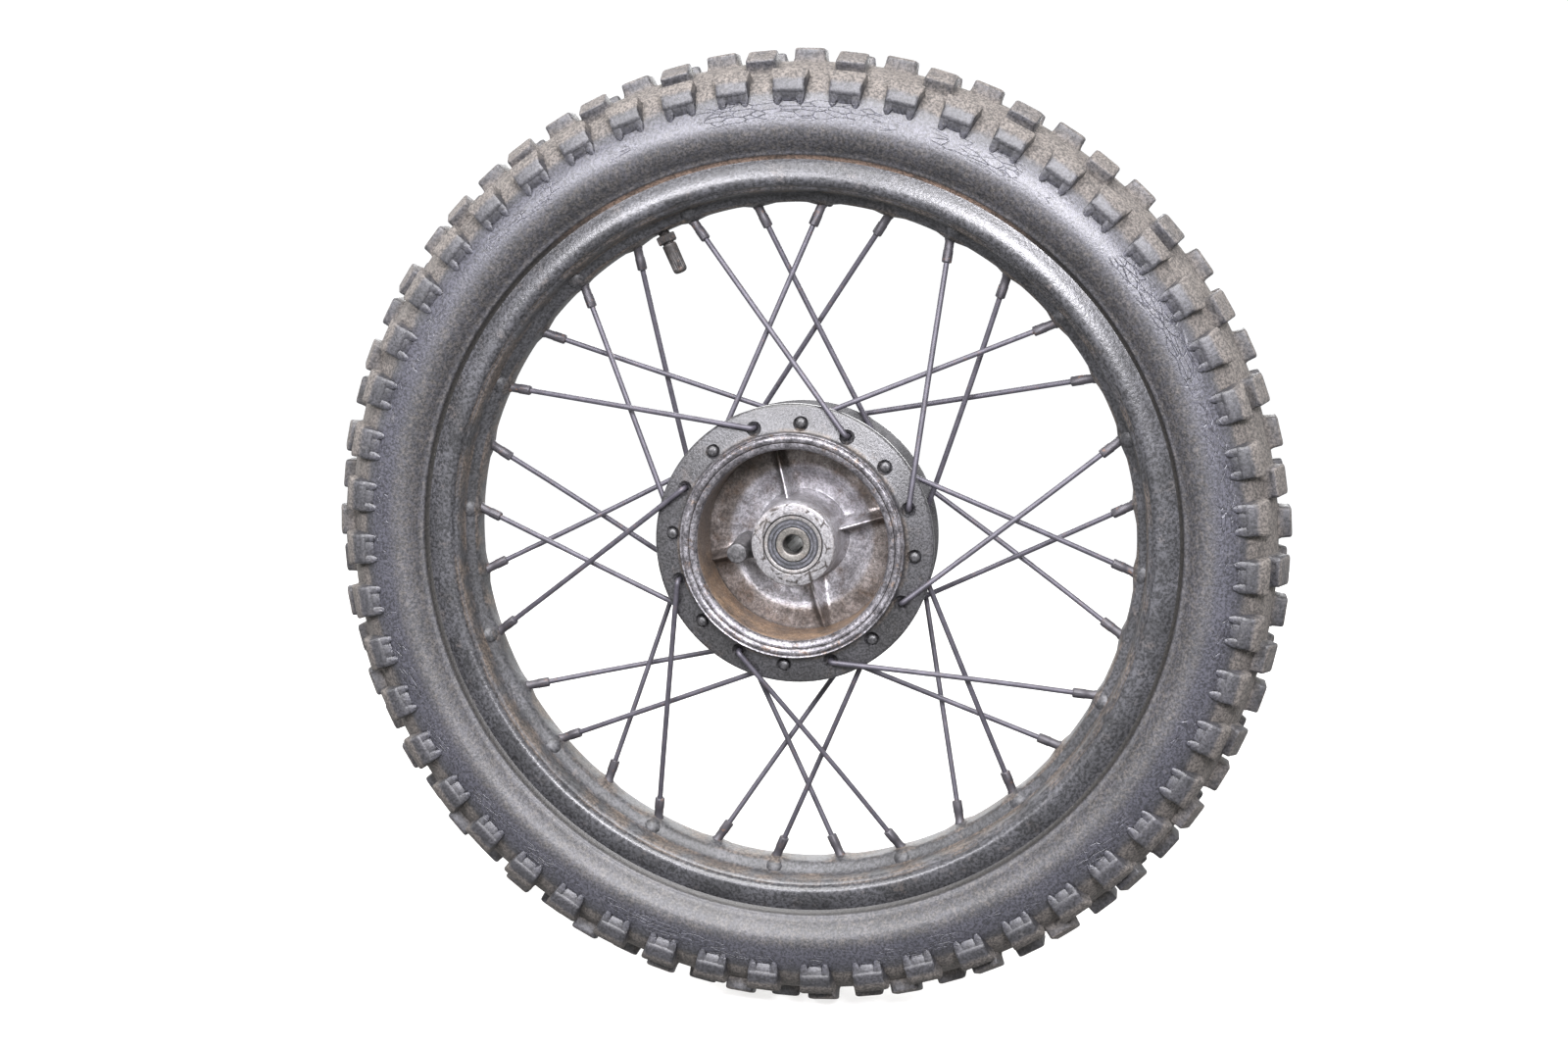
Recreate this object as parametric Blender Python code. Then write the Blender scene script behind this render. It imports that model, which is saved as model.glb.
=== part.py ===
"""Spoked front wheel of a small off-road motorcycle, with its drum-brake hub.

The wheel spins about Y, with its centre at the origin. The brake drum opens
towards -Y and Z points up. Lengths are in metres, and profiles are written
in millimetres as (radius, y) pairs.
"""

import math

import bmesh
import bpy
from mathutils import Vector

MM = 0.001

# Driving dimensions, in millimetres and degrees
TYRE_CROWN_R = 245.0
CROWN_ARC_R = 41.6
KNOB_HEIGHT = 6.3
TREAD_UNITS = 17
CENTRE_ROWS = 68
CENTRE_KNOB_HALF = 1.77
PAIR_PHASE = 9.1
SHOULDER_KNOBS = 51
SHOULDER_KNOB_HALF = 2.05
SHOULDER_PHASE = 5.33
TYRE_WALL = (
    (211.0, 34.2),
    (203.0, 33.4),
    (196.0, 27.0),
    (190.8, 21.7),
    (181.0, 20.1),
    (178.0, 18.9),
    (178.0, 12.8),
)
TYRE_LINING = ((187.0, 15.0), (205.0, 29.2), (222.0, 24.5))
RIM_SEGMENTS = 40
TUBE_SEGMENTS = 24
SEAT_R = 177.4
WELL_R = 169.3
RIM_WALL = 1.9
FLANGE_TOP_R = 191.2

SPOKES = 32
SPOKE_R = 1.4
SPOKE_HOLE_R = 2.0
SPOKE_CIRCLE_R = 61.9
LACING_PHASE = 18.58
CROSS_ANGLE = 45.0
NIPPLE_R = 2.5
NIPPLE_LENGTH = 11.4
NIPPLE_OFFSET = 2.0
NIPPLE_HOLE_R = 3.1
HEAD_R = 2.7
VALVE_ANGLE = 114.3
VALVE_HOLE_R = 4.4

HUB_SEGMENTS = 30
NEAR_FLANGE = (-20.7, -15.4)
FAR_FLANGE = (17.6, 23.0)
OUTER_ELBOW_RISE = 2.0
DRUM_R = 48.4
LINER_OUTER_R = 52.1
LINER_ENDS = (-25.6, 6.9)
RIB_ANGLES = (15.5, 105.5, 195.5, 285.5)
RIB_TOP_HALF = 0.8
RIB_FOOT_HALF = 2.6
RIB_ENDS = ((20.5, -3.0, 14.5), (47.6, 2.0, 10.0))
DATE_BOSS = (30.6, 192.0, 5.3)

BEARING_SEGMENTS = 16
BEARING_BORE_R = 5.0
BEARING_OUTER_R = 15.0
BEARING_WIDTH = 9.0
BALLS = 8
BALL_R = 2.38
BALL_PITCH_R = 10.0
BALL_RINGS = (0.12, 0.37, 0.63, 0.88)
NEAR_BEARING_Y = -15.5
FAR_BEARING_Y = 28.2
GAP = 0.3

RUBBER = ("tyre_rubber", (0.06, 0.06, 0.065), 0.8, 0.0)
TUBE_RUBBER = ("tube_rubber", (0.03, 0.03, 0.03), 0.6, 0.0)
RIM_PAINT = ("rim_paint", (0.09, 0.085, 0.085), 0.5, 0.3)
HUB_PAINT = ("hub_paint", (0.1, 0.095, 0.095), 0.55, 0.3)
IRON = ("rusty_iron", (0.35, 0.22, 0.13), 0.7, 0.5)
SPOKE_STEEL = ("spoke_steel", (0.14, 0.13, 0.15), 0.4, 0.7)
BEARING_STEEL = ("bearing_steel", (0.6, 0.58, 0.54), 0.3, 1.0)
SEAL_RUBBER = ("seal_rubber", (0.13, 0.13, 0.14), 0.6, 0.0)
DARK_METAL = ("dark_metal", (0.12, 0.11, 0.11), 0.5, 0.6)


def clear_scene():
    for obj in list(bpy.data.objects):
        bpy.data.objects.remove(obj, do_unlink=True)


def material(look):
    """The material of this look, made once."""
    name, colour, roughness, metallic = look
    found = bpy.data.materials.get(name)
    if found:
        return found
    made = bpy.data.materials.new(name)
    made.use_nodes = True
    shader = made.node_tree.nodes["Principled BSDF"]
    shader.inputs["Base Color"].default_value = (*colour, 1.0)
    shader.inputs["Roughness"].default_value = roughness
    shader.inputs["Metallic"].default_value = metallic
    made.diffuse_color = (*colour, 1.0)
    return made


def empty(name, y=0.0):
    made = bpy.data.objects.new(name, None)
    made.location = (0.0, y * MM, 0.0)
    made.empty_display_size = 0.05
    bpy.context.scene.collection.objects.link(made)
    return made


def on_wheel(radius, angle, y):
    """The point at this radius, this angle from +X towards +Z, and this y."""
    turn = math.radians(angle)
    return Vector((radius * math.cos(turn), y, radius * math.sin(turn))) * MM


def finish(bm, name, look, parent, smooth=35.0):
    """Makes the object of a bmesh whose points are in world metres."""
    bmesh.ops.recalc_face_normals(bm, faces=bm.faces[:])
    mesh = bpy.data.meshes.new(name)
    bm.to_mesh(mesh)
    bm.free()
    mesh.materials.append(material(look))
    mesh.shade_smooth()
    mesh.set_sharp_from_angle(angle=math.radians(smooth))
    obj = bpy.data.objects.new(name, mesh)
    bpy.context.scene.collection.objects.link(obj)
    if parent:
        obj.parent = parent
        mesh.transform(parent_offset(parent))
    return obj


def parent_offset(parent):
    """Takes world points into the parent's own frame."""
    return parent.matrix_basis.inverted()


def lathe(bm, profile, segments, phase=0.0):
    """Turns a closed (radius, y) outline about Y into a ring."""
    points = [bm.verts.new(on_wheel(r, phase, y)) for r, y in profile]
    pairs = zip(points, points[1:] + points[:1])
    edges = [bm.edges.new(pair) for pair in pairs]
    bmesh.ops.spin(
        bm,
        geom=points + edges,
        cent=(0.0, 0.0, 0.0),
        axis=(0.0, 1.0, 0.0),
        angle=math.tau,
        steps=segments,
        use_merge=True,
        use_duplicate=False,
    )


def ring_object(name, profile, segments, look, parent, phase=0.0):
    bm = bmesh.new()
    lathe(bm, profile, segments, phase)
    return finish(bm, name, look, parent)


def cutter_object(bm, name):
    cutter = finish(bm, name, DARK_METAL, None)
    cutter.hide_render = True
    cutter.display_type = "WIRE"
    return cutter


def boolean(obj, other, operation):
    modifier = obj.modifiers.new(other.name, "BOOLEAN")
    modifier.operation = operation
    modifier.object = other
    modifier.solver = "EXACT"


def stepped_pin(bm, start, along, steps, sides=8):
    """A closed pin about a line, from (distance, radius) pairs in millimetres."""
    across = along.orthogonal().normalized()
    other = along.cross(across)
    rings = []
    for distance, radius in steps:
        middle = start + along * distance * MM
        ring = []
        for side in range(sides):
            turn = math.tau * (side + 0.5) / sides
            out = across * math.cos(turn) + other * math.sin(turn)
            ring.append(bm.verts.new(middle + out * radius * MM))
        rings.append(ring)
    for low, high in zip(rings, rings[1:]):
        for side in range(sides):
            after = (side + 1) % sides
            bm.faces.new((low[side], low[after], high[after], high[side]))
    bm.faces.new(rings[0][::-1])
    bm.faces.new(rings[-1])


def mirrored(half):
    """A closed outline from its +Y half, given from the middle outwards."""
    return [(r, -y) for r, y in reversed(half)] + half


# Tyre: rings of points at fixed angles, joined ring to ring. Knobs are cells
# of the tread that stand out from its floor.


def crown(height, tilt):
    """(radius, y) on the crown arc, sunk by height, at a tilt from radial."""
    arc = CROWN_ARC_R - height
    turn = math.radians(tilt)
    centre = TYRE_CROWN_R - CROWN_ARC_R
    return centre + arc * math.cos(turn), arc * math.sin(turn)


def angles_about(centres, half):
    found = []
    for centre in centres:
        found += [centre - half, centre + half]
    return sorted(found)


def even_angles(count, phase=0.0):
    return [phase + 360.0 * i / count for i in range(count)]


def tyre_ring(bm, point, angles):
    return [(a, bm.verts.new(on_wheel(point[0], a, point[1]))) for a in angles]


def join_rings(bm, first, second):
    """Fills the strip between two rings whose angles may differ."""
    low = sorted(first, key=lambda item: item[0] % 360.0)
    high = sorted(second, key=lambda item: item[0] % 360.0)
    if len(low) == len(high) and all(abs(a[0] - b[0]) < 1e-6 for a, b in zip(low, high)):
        for i in range(len(low)):
            j = (i + 1) % len(low)
            bm.faces.new((low[i][1], low[j][1], high[j][1], high[i][1]))
        return
    i = j = 0
    while i < len(low) or j < len(high):
        next_low = low[(i + 1) % len(low)][0] % 360.0 + 360.0 * ((i + 1) // len(low))
        next_high = high[(j + 1) % len(high)][0] % 360.0 + 360.0 * ((j + 1) // len(high))
        a = low[i % len(low)][1]
        b = high[j % len(high)][1]
        if j >= len(high) or (i < len(low) and next_low <= next_high):
            bm.faces.new((a, low[(i + 1) % len(low)][1], b))
            i += 1
        else:
            bm.faces.new((a, high[(j + 1) % len(high)][1], b))
            j += 1


def knob_band(bm, rings, outline, centres, half, angles):
    """Fills the band between two rings of equal angles. Between a knob's two
    angles, centre - half and centre + half, the outline replaces the floor."""
    count = len(angles)
    column = {round(a % 360.0, 4): i for i, a in enumerate(angles)}
    knobs = {column[round((centre - half) % 360.0, 4)] for centre in centres}
    for i in range(count):
        j = (i + 1) % count
        if i not in knobs:
            for low, high in zip(rings, rings[1:]):
                bm.faces.new((low[i][1], low[j][1], high[j][1], high[i][1]))
            continue
        sides = []
        for k in (i, j):
            tops = [bm.verts.new(on_wheel(r, angles[k], y)) for r, y in outline]
            floor = [ring[k][1] for ring in rings]
            bm.faces.new(floor + tops[::-1])
            sides.append([floor[0]] + tops + [floor[-1]])
        for n in range(len(sides[0]) - 1):
            bm.faces.new((sides[0][n], sides[1][n], sides[1][n + 1], sides[0][n + 1]))


def build_tyre(parent):
    bm = bmesh.new()
    pairs = even_angles(CENTRE_ROWS // 2, PAIR_PHASE)
    middles = even_angles(CENTRE_ROWS // 2, PAIR_PHASE + 360.0 / CENTRE_ROWS)
    shoulders = even_angles(SHOULDER_KNOBS, SHOULDER_PHASE)
    tread = angles_about(pairs + middles, CENTRE_KNOB_HALF)
    edge = angles_about(shoulders, SHOULDER_KNOB_HALF)
    plain = even_angles(RIM_SEGMENTS)

    floor_middle = [tyre_ring(bm, crown(KNOB_HEIGHT, t), tread) for t in (-12.0, 12.0)]
    top_middle = [crown(0.0, -10.6), crown(0.0, 10.6)]
    knob_band(bm, floor_middle, top_middle, middles, CENTRE_KNOB_HALF, tread)
    ends = []
    for side in (-1, 1):
        inner = floor_middle[0] if side < 0 else floor_middle[1]
        outer = tyre_ring(bm, crown(KNOB_HEIGHT, side * 35.0), tread)
        top = [crown(0.0, side * 13.6), crown(0.0, side * 33.4)]
        knob_band(bm, [inner, outer], top, pairs, CENTRE_KNOB_HALF, tread)

        base = tyre_ring(bm, crown(KNOB_HEIGHT, side * 39.5), edge)
        foot = tyre_ring(bm, (218.5, side * 31.9), edge)
        top = [crown(0.0, side * 42.3), crown(0.0, side * 52.5), (222.3, side * 33.7)]
        join_rings(bm, outer, base)
        knob_band(bm, [base, foot], top, shoulders, SHOULDER_KNOB_HALF, edge)

        last = foot
        for r, y in TYRE_WALL:
            ring = tyre_ring(bm, (r, side * y), plain)
            join_rings(bm, last, ring)
            last = ring
        inside = even_angles(2 * TREAD_UNITS)
        for r, y in TYRE_LINING:
            ring = tyre_ring(bm, (r, side * y), inside)
            join_rings(bm, last, ring)
            last = ring
        ends.append(last)
    top = tyre_ring(bm, (232.8, 0.0), even_angles(2 * TREAD_UNITS))
    join_rings(bm, ends[0], top)
    join_rings(bm, top, ends[1])
    bmesh.ops.triangulate(bm, faces=bm.faces[:])
    return finish(bm, "tyre", RUBBER, parent, 30.0)


def build_inner_tube(parent):
    outer = mirrored([(181.5, 6.0), (203.0, 24.0), (217.0, 23.0), (226.0, 8.5)])
    inner = mirrored([(183.3, 5.3), (203.8, 22.2), (216.2, 21.4), (224.2, 7.7)])
    bm = bmesh.new()
    lathe(bm, outer, TUBE_SEGMENTS)
    tube = finish(bm, "inner_tube", TUBE_RUBBER, parent)
    bm = bmesh.new()
    lathe(bm, inner, TUBE_SEGMENTS)
    hollow = cutter_object(bm, "tube_hollow")
    bm = bmesh.new()
    inward = on_wheel(-1.0, VALVE_ANGLE, 0.0).normalized()
    stepped_pin(bm, on_wheel(195.0, VALVE_ANGLE, 0.0), inward, [(0.0, 2.4), (25.0, 2.4)])
    mouth = cutter_object(bm, "tube_mouth")
    boolean(tube, hollow, "DIFFERENCE")
    boolean(tube, mouth, "DIFFERENCE")
    return tube


def build_rim(parent):
    half = [
        (WELL_R, 6.6),
        (175.5, 12.0),
        (175.7, 20.6),
        (180.5, 23.4),
        (187.5, 24.9),
        (FLANGE_TOP_R, 23.1),
        (186.0, 21.2),
        (SEAT_R, 20.2),
        (SEAT_R, 12.6),
        (WELL_R + RIM_WALL, 6.2),
    ]
    outline = half + [(r, -y) for r, y in reversed(half)]
    rim = ring_object("rim", outline, RIM_SEGMENTS, RIM_PAINT, parent)
    bm = bmesh.new()
    for spoke in lacing():
        corner, seat_point = spoke_line(spoke)
        along = (seat_point - corner).normalized()
        hole = [(-4.0, NIPPLE_HOLE_R), (7.0, NIPPLE_HOLE_R)]
        stepped_pin(bm, seat_point, along, hole, 6)
    outward = on_wheel(1.0, VALVE_ANGLE, 0.0).normalized()
    hole = [(0.0, VALVE_HOLE_R), (8.0, VALVE_HOLE_R)]
    stepped_pin(bm, on_wheel(166.0, VALVE_ANGLE, 0.0), outward, hole)
    boolean(rim, cutter_object(bm, "rim_holes"), "DIFFERENCE")
    return rim


def build_rim_band(parent):
    outline = [(175.2, -7.6), (175.2, 7.6), (176.4, 7.2), (176.4, -7.2)]
    band = ring_object("rim_band", outline, RIM_SEGMENTS, TUBE_RUBBER, parent)
    bm = bmesh.new()
    outward = on_wheel(1.0, VALVE_ANGLE, 0.0).normalized()
    hole = [(0.0, VALVE_HOLE_R), (9.0, VALVE_HOLE_R)]
    stepped_pin(bm, on_wheel(171.0, VALVE_ANGLE, 0.0), outward, hole)
    boolean(band, cutter_object(bm, "band_hole"), "DIFFERENCE")
    return band


def build_valve(parent):
    inward = on_wheel(-1.0, VALVE_ANGLE, 0.0).normalized()
    start = on_wheel(179.4, VALVE_ANGLE, 0.0)
    bm = bmesh.new()
    stem = [(0.0, 3.9), (1.8, 3.9), (2.2, 3.0), (28.5, 3.0), (29.0, 2.4)]
    stepped_pin(bm, start, inward, stem, 12)
    finish(bm, "valve_stem", DARK_METAL, parent)
    bm = bmesh.new()
    stepped_pin(bm, start, inward, [(11.0, 5.5), (15.2, 5.5)], 6)
    nut = finish(bm, "valve_nut", DARK_METAL, parent, 20.0)
    bm = bmesh.new()
    stepped_pin(bm, start, inward, [(10.0, 3.4), (17.0, 3.4)], 12)
    boolean(nut, cutter_object(bm, "nut_bore"), "DIFFERENCE")
    bm = bmesh.new()
    stepped_pin(bm, start, inward, [(15.7, 3.7), (31.0, 3.6), (31.5, 3.2)], 12)
    cap = finish(bm, "valve_cap", DARK_METAL, parent)
    bm = bmesh.new()
    stepped_pin(bm, start, inward, [(15.0, 3.35), (29.6, 3.35)], 12)
    boolean(cap, cutter_object(bm, "cap_bore"), "DIFFERENCE")


# Spokes: four families of eight. Each is (flange, elbow side, hub angle, rim angle),
# where the elbow side is -1 or +1 along Y.


def lacing():
    families = [
        (NEAR_FLANGE, -1, 0.0, 1),
        (FAR_FLANGE, -1, -11.25, 1),
        (NEAR_FLANGE, 1, -22.5, -1),
        (FAR_FLANGE, 1, -33.75, -1),
    ]
    found = []
    for turn in range(SPOKES // 4):
        for flange, elbow, shift, lean in families:
            rim_angle = LACING_PHASE + shift - 45.0 * turn
            hub_angle = rim_angle - lean * CROSS_ANGLE
            found.append((flange, elbow, hub_angle, rim_angle))
    return found


def spoke_line(spoke):
    """The elbow's corner and the point where the spoke's line meets the rim."""
    flange, elbow, hub_angle, rim_angle = spoke
    face = flange[1] if elbow > 0 else flange[0]
    outward = face in (NEAR_FLANGE[0], FAR_FLANGE[1])
    rise = SPOKE_R + GAP + (OUTER_ELBOW_RISE if outward else 0.0)
    corner = on_wheel(SPOKE_CIRCLE_R, hub_angle, face + elbow * rise)
    seat_y = -NIPPLE_OFFSET if flange is NEAR_FLANGE else NIPPLE_OFFSET
    return corner, on_wheel(WELL_R, rim_angle, seat_y)


def build_spoke(name, spoke, parent):
    flange, elbow, hub_angle, _ = spoke
    corner, seat_point = spoke_line(spoke)
    along = (seat_point - corner).normalized()
    face = flange[0] if elbow > 0 else flange[1]
    up = Vector((0.0, elbow, 0.0))
    head = on_wheel(SPOKE_CIRCLE_R, hub_angle, face)
    flat = face in (NEAR_FLANGE[1], FAR_FLANGE[0])
    base, neck = (0.3, -0.25) if flat else (-0.3, 1.4)
    stations = [
        (head - up * (base + 1.5) * MM, 1.8),
        (head - up * base * MM, HEAD_R),
        (head + up * neck * MM, SPOKE_R),
        (corner, SPOKE_R),
        (seat_point - along * (NIPPLE_LENGTH + 0.4) * MM, SPOKE_R),
        (seat_point - along * NIPPLE_LENGTH * MM, NIPPLE_R),
        (seat_point + along * 4.5 * MM, NIPPLE_R),
    ]
    curve = bpy.data.curves.new(name, "CURVE")
    curve.dimensions = "3D"
    curve.bevel_depth = MM
    curve.bevel_resolution = 1
    curve.use_fill_caps = True
    line = curve.splines.new("POLY")
    line.points.add(len(stations) - 1)
    shift = parent_offset(parent)
    for point, (place, radius) in zip(line.points, stations):
        point.co = (*(shift @ place), 1.0)
        point.radius = radius
    curve.materials.append(material(SPOKE_STEEL))
    obj = bpy.data.objects.new(name, curve)
    bpy.context.scene.collection.objects.link(obj)
    obj.parent = parent
    return obj


def build_hub(parent):
    outline = [
        (52.4, -25.8), (53.2, -26.9), (56.4, -27.1), (57.2, -21.4), (71.0, -19.5), (71.0, -15.4),
        (58.2, -15.4), (57.6, 9.0), (58.6, 17.6), (69.4, 17.6), (69.4, 21.2), (54.0, 24.8),
        (49.5, 13.6), (45.5, 12.4), (38.5, 12.6), (31.0, 17.0), (22.6, 19.5), (21.2, 37.7),
        (20.5, 38.2), (15.3, 38.2), (15.3, 23.4), (12.6, 23.4), (12.6, -10.7), (15.3, -10.7),
        (15.3, -20.6), (20.6, -20.6), (21.3, -19.9), (22.4, 5.0), (27.5, 12.0), (32.0, 10.6),
        (37.0, 7.2), (52.4, 7.2),
    ]
    hub = ring_object("hub_shell", outline, HUB_SEGMENTS, HUB_PAINT, parent)
    bm = bmesh.new()
    for angle in RIB_ANGLES:
        along = on_wheel(1.0, angle, 0.0).normalized()
        across = along.cross(Vector((0.0, 1.0, 0.0)))
        rib_wedge(bm, along, across)
    boolean(hub, cutter_object(bm, "drum_ribs"), "UNION")
    bm = bmesh.new()
    radius, angle, boss_r = DATE_BOSS
    inward = Vector((0.0, 1.0, 0.0))
    peg = [(0.0, boss_r), (29.0, boss_r + 0.8)]
    stepped_pin(bm, on_wheel(radius, angle, -15.0), inward, peg, 12)
    boolean(hub, cutter_object(bm, "date_boss"), "UNION")
    bm = bmesh.new()
    for flange, _, hub_angle, _ in lacing():
        middle = (flange[0] + flange[1]) / 2.0
        half = (flange[1] - flange[0]) / 2.0
        outside = inward if flange is FAR_FLANGE else -inward
        hole = [(-half - 1.0, SPOKE_HOLE_R), (half - 1.7, SPOKE_HOLE_R), (half + 1.0, 4.5)]
        stepped_pin(bm, on_wheel(SPOKE_CIRCLE_R, hub_angle, middle), outside, hole, 6)
    boolean(hub, cutter_object(bm, "spoke_holes"), "DIFFERENCE")
    return hub


def rib_wedge(bm, along, across):
    """A radial rib on the drum's floor, with a thin top and drafted flanks."""
    rows = []
    for radius, top_y, foot_y in RIB_ENDS:
        row = []
        for half, y in ((RIB_TOP_HALF, top_y), (RIB_FOOT_HALF, foot_y)):
            for side in (-1, 1):
                place = along * radius + across * half * side + Vector((0.0, y, 0.0))
                row.append(bm.verts.new(place * MM))
        rows.append(row)
    a, b = rows
    bm.faces.new((a[0], a[1], a[3], a[2]))
    bm.faces.new((b[0], b[1], b[3], b[2]))
    bm.faces.new((a[0], a[1], b[1], b[0]))
    bm.faces.new((a[2], a[3], b[3], b[2]))
    bm.faces.new((a[0], a[2], b[2], b[0]))
    bm.faces.new((a[1], a[3], b[3], b[1]))


def build_liner(parent):
    front, back = LINER_ENDS
    outline = [
        (DRUM_R + 1.3, front + 0.8),
        (DRUM_R + 2.0, front),
        (LINER_OUTER_R, front),
        (LINER_OUTER_R, back),
        (DRUM_R, back),
        (DRUM_R, front + 3.0),
    ]
    return ring_object("brake_drum_liner", outline, HUB_SEGMENTS, IRON, parent)


def shifted(outline, y):
    return [(radius, along + y) for radius, along in outline]


def build_ball_cage(prefix, y, spin):
    """The cage and its balls, which turn together about the bearing's centre."""
    ring = shifted([(9.6, -0.7), (10.7, -0.7), (10.7, 0.7), (9.6, 0.7)], y)
    cage = ring_object(prefix + "_ball_cage", ring, BALLS, BEARING_STEEL, spin)
    ball_rings = []
    for step in BALL_RINGS:
        turn = math.pi * step
        ball_rings.append((BALL_R * (1.0 - math.cos(turn)), BALL_R * math.sin(turn)))
    bm = bmesh.new()
    for ball in range(BALLS):
        start = on_wheel(BALL_PITCH_R, 360.0 * ball / BALLS, y - BALL_R)
        stepped_pin(bm, start, Vector((0.0, 1.0, 0.0)), ball_rings, 6)
    boolean(cage, cutter_object(bm, prefix + "_balls"), "UNION")


def build_bearing(prefix, y, wheel, axle):
    half = BEARING_WIDTH / 2.0
    groove = [(12.0, -2.2), (12.75, -1.2), (12.75, 1.2), (12.0, 2.2)]
    lips = [(13.2, -half), (13.2, -3.5), (12.0, -3.5)]
    ends = [(BEARING_OUTER_R, half), (BEARING_OUTER_R, -half)]
    outer = lips + groove + [(r, -along) for r, along in reversed(lips)] + ends
    inner = [
        (BEARING_BORE_R, -half),
        (8.6, -half),
        (8.6, -2.0),
        (7.3, -1.1),
        (7.3, 1.1),
        (8.6, 2.0),
        (8.6, half),
        (BEARING_BORE_R, half),
    ]
    for name, outline, body in (("_outer_race", outer, wheel), ("_inner_race", inner, axle)):
        ring_object(prefix + name, shifted(outline, y), BEARING_SEGMENTS, BEARING_STEEL, body)
    for side, name in ((-1, "_seal_minus_y"), (1, "_seal_plus_y")):
        near, far = sorted((side * 3.8, side * 4.3))
        seal = [(8.95, near), (12.9, near), (12.9, far), (8.95, far)]
        ring_object(prefix + name, shifted(seal, y), BEARING_SEGMENTS, SEAL_RUBBER, wheel)
    build_ball_cage(prefix, y, empty(prefix + "_cage_axis", y))


def build_axle_pieces(wheel, axle):
    """The spacer between the bearings, and the far side's seal and collar."""
    half = BEARING_WIDTH / 2.0
    low = NEAR_BEARING_Y + half + GAP
    high = FAR_BEARING_Y - half - GAP
    spacer = [(5.1, low), (7.2, low), (7.2, high), (5.1, high)]
    seal = [(8.5, 33.2), (14.9, 33.2), (14.9, 37.4), (8.5, 37.4)]
    collar = [(5.1, 33.0), (8.0, 33.0), (8.0, 38.8), (12.0, 38.8), (12.0, 42.0), (5.1, 42.0)]
    ring_object("bearing_spacer", spacer, BEARING_SEGMENTS, DARK_METAL, axle)
    ring_object("dust_seal", seal, BEARING_SEGMENTS, SEAL_RUBBER, wheel)
    ring_object("axle_collar", collar, BEARING_SEGMENTS, DARK_METAL, axle)


def main():
    clear_scene()
    axle = empty("axle_line")
    wheel = empty("wheel_axis")
    build_tyre(wheel)
    build_inner_tube(wheel)
    build_rim_band(wheel)
    build_rim(wheel)
    for number, spoke in enumerate(lacing(), 1):
        build_spoke(f"spoke_{number:02d}", spoke, wheel)
    build_valve(wheel)
    build_hub(wheel)
    build_liner(wheel)
    build_bearing("drum_side_bearing", NEAR_BEARING_Y, wheel, axle)
    build_bearing("far_side_bearing", FAR_BEARING_Y, wheel, axle)
    build_axle_pieces(wheel, axle)


main()
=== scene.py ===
"""Finished look of the spoked wheel: every visible CAD node gets a detailed piece.

Shapes are written in millimetres in the wheel's own terms: radius from the axle,
angle from +X towards +Z in degrees, and y along the axle. The stage is in metres.
"""

import math

import bmesh
import bpy
import numpy as np
from mathutils import Matrix, Vector


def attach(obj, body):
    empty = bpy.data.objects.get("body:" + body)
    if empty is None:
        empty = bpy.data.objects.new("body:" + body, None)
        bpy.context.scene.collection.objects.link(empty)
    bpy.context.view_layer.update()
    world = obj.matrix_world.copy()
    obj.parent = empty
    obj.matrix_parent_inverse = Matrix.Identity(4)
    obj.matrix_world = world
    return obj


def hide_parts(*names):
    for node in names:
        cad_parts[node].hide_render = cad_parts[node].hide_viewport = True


MM = 0.001

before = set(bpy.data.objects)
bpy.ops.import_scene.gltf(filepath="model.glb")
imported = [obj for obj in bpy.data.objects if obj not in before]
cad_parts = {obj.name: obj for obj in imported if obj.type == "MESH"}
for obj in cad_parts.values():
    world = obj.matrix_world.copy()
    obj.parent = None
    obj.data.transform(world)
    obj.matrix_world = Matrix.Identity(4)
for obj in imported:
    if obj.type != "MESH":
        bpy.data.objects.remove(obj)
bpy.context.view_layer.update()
WHEEL = "wheel"
AXLE = "axle_side"

# Tyre
CROWN_R = 245.0
CROWN_ARC_R = 41.6
CARCASS_INSIDE_R = 232.4
CARCASS_COLUMNS = 180
KNOB_HEIGHT = 6.3
CENTRE_PAIRS = 34
PAIR_PHASE = 9.1
PAIR_TILTS = ((13.6, 33.4), (-33.4, -13.6))
MIDDLE_TILTS = (-10.6, 10.6)
CENTRE_HALF_ANGLE = 1.77
CENTRE_MID_R = 240.0
SHOULDER_KNOBS = 51
SHOULDER_PHASE = 5.33
SHOULDER_TOP_R = 227.0

# Rim and spokes
WELL_R = 170.2
WELL_END_R = 174.5
DIMPLE_HEIGHT = 1.2
DIMPLE_R = 7.0
SEAT_BUMP = (172.6, 8.4)
SEAT_BUMP_TILT = math.radians(48.0)
SEAT_BUMP_DOME = ((-1.5, 5.2), (-0.1, 4.4), (0.7, 3.3), (1.2, 2.0), (1.4, 0.7))
WELD_NUB_ANGLE = 85.0
WELD_NUB_DOME = ((0.0, 2.0), (1.4, 2.0), (2.0, 1.8), (2.6, 1.3), (2.9, 0.5))
SPOKE_CIRCLE_R = 61.9
SPOKE_R = 1.4
SPOKE_BEND = 2.6
SPOKE_BOW = 0.25
ELBOW_GAP = 0.3
OUTER_ELBOW_RISE = 2.0
HEAD_SUNK = -0.55
NEAR_FLANGE = (-20.7, -15.4)
FAR_FLANGE = (17.6, 23.0)
LACING_PHASE = 18.58
CROSS_ANGLE = 45.0
SEAT_R = 169.3
NIPPLE_OFFSET = 2.0
NIPPLE_LENGTH = 11.4
PIN_SIDES = 12
VALVE_ANGLE = 114.3
VALVE_START_R = 179.4

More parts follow.
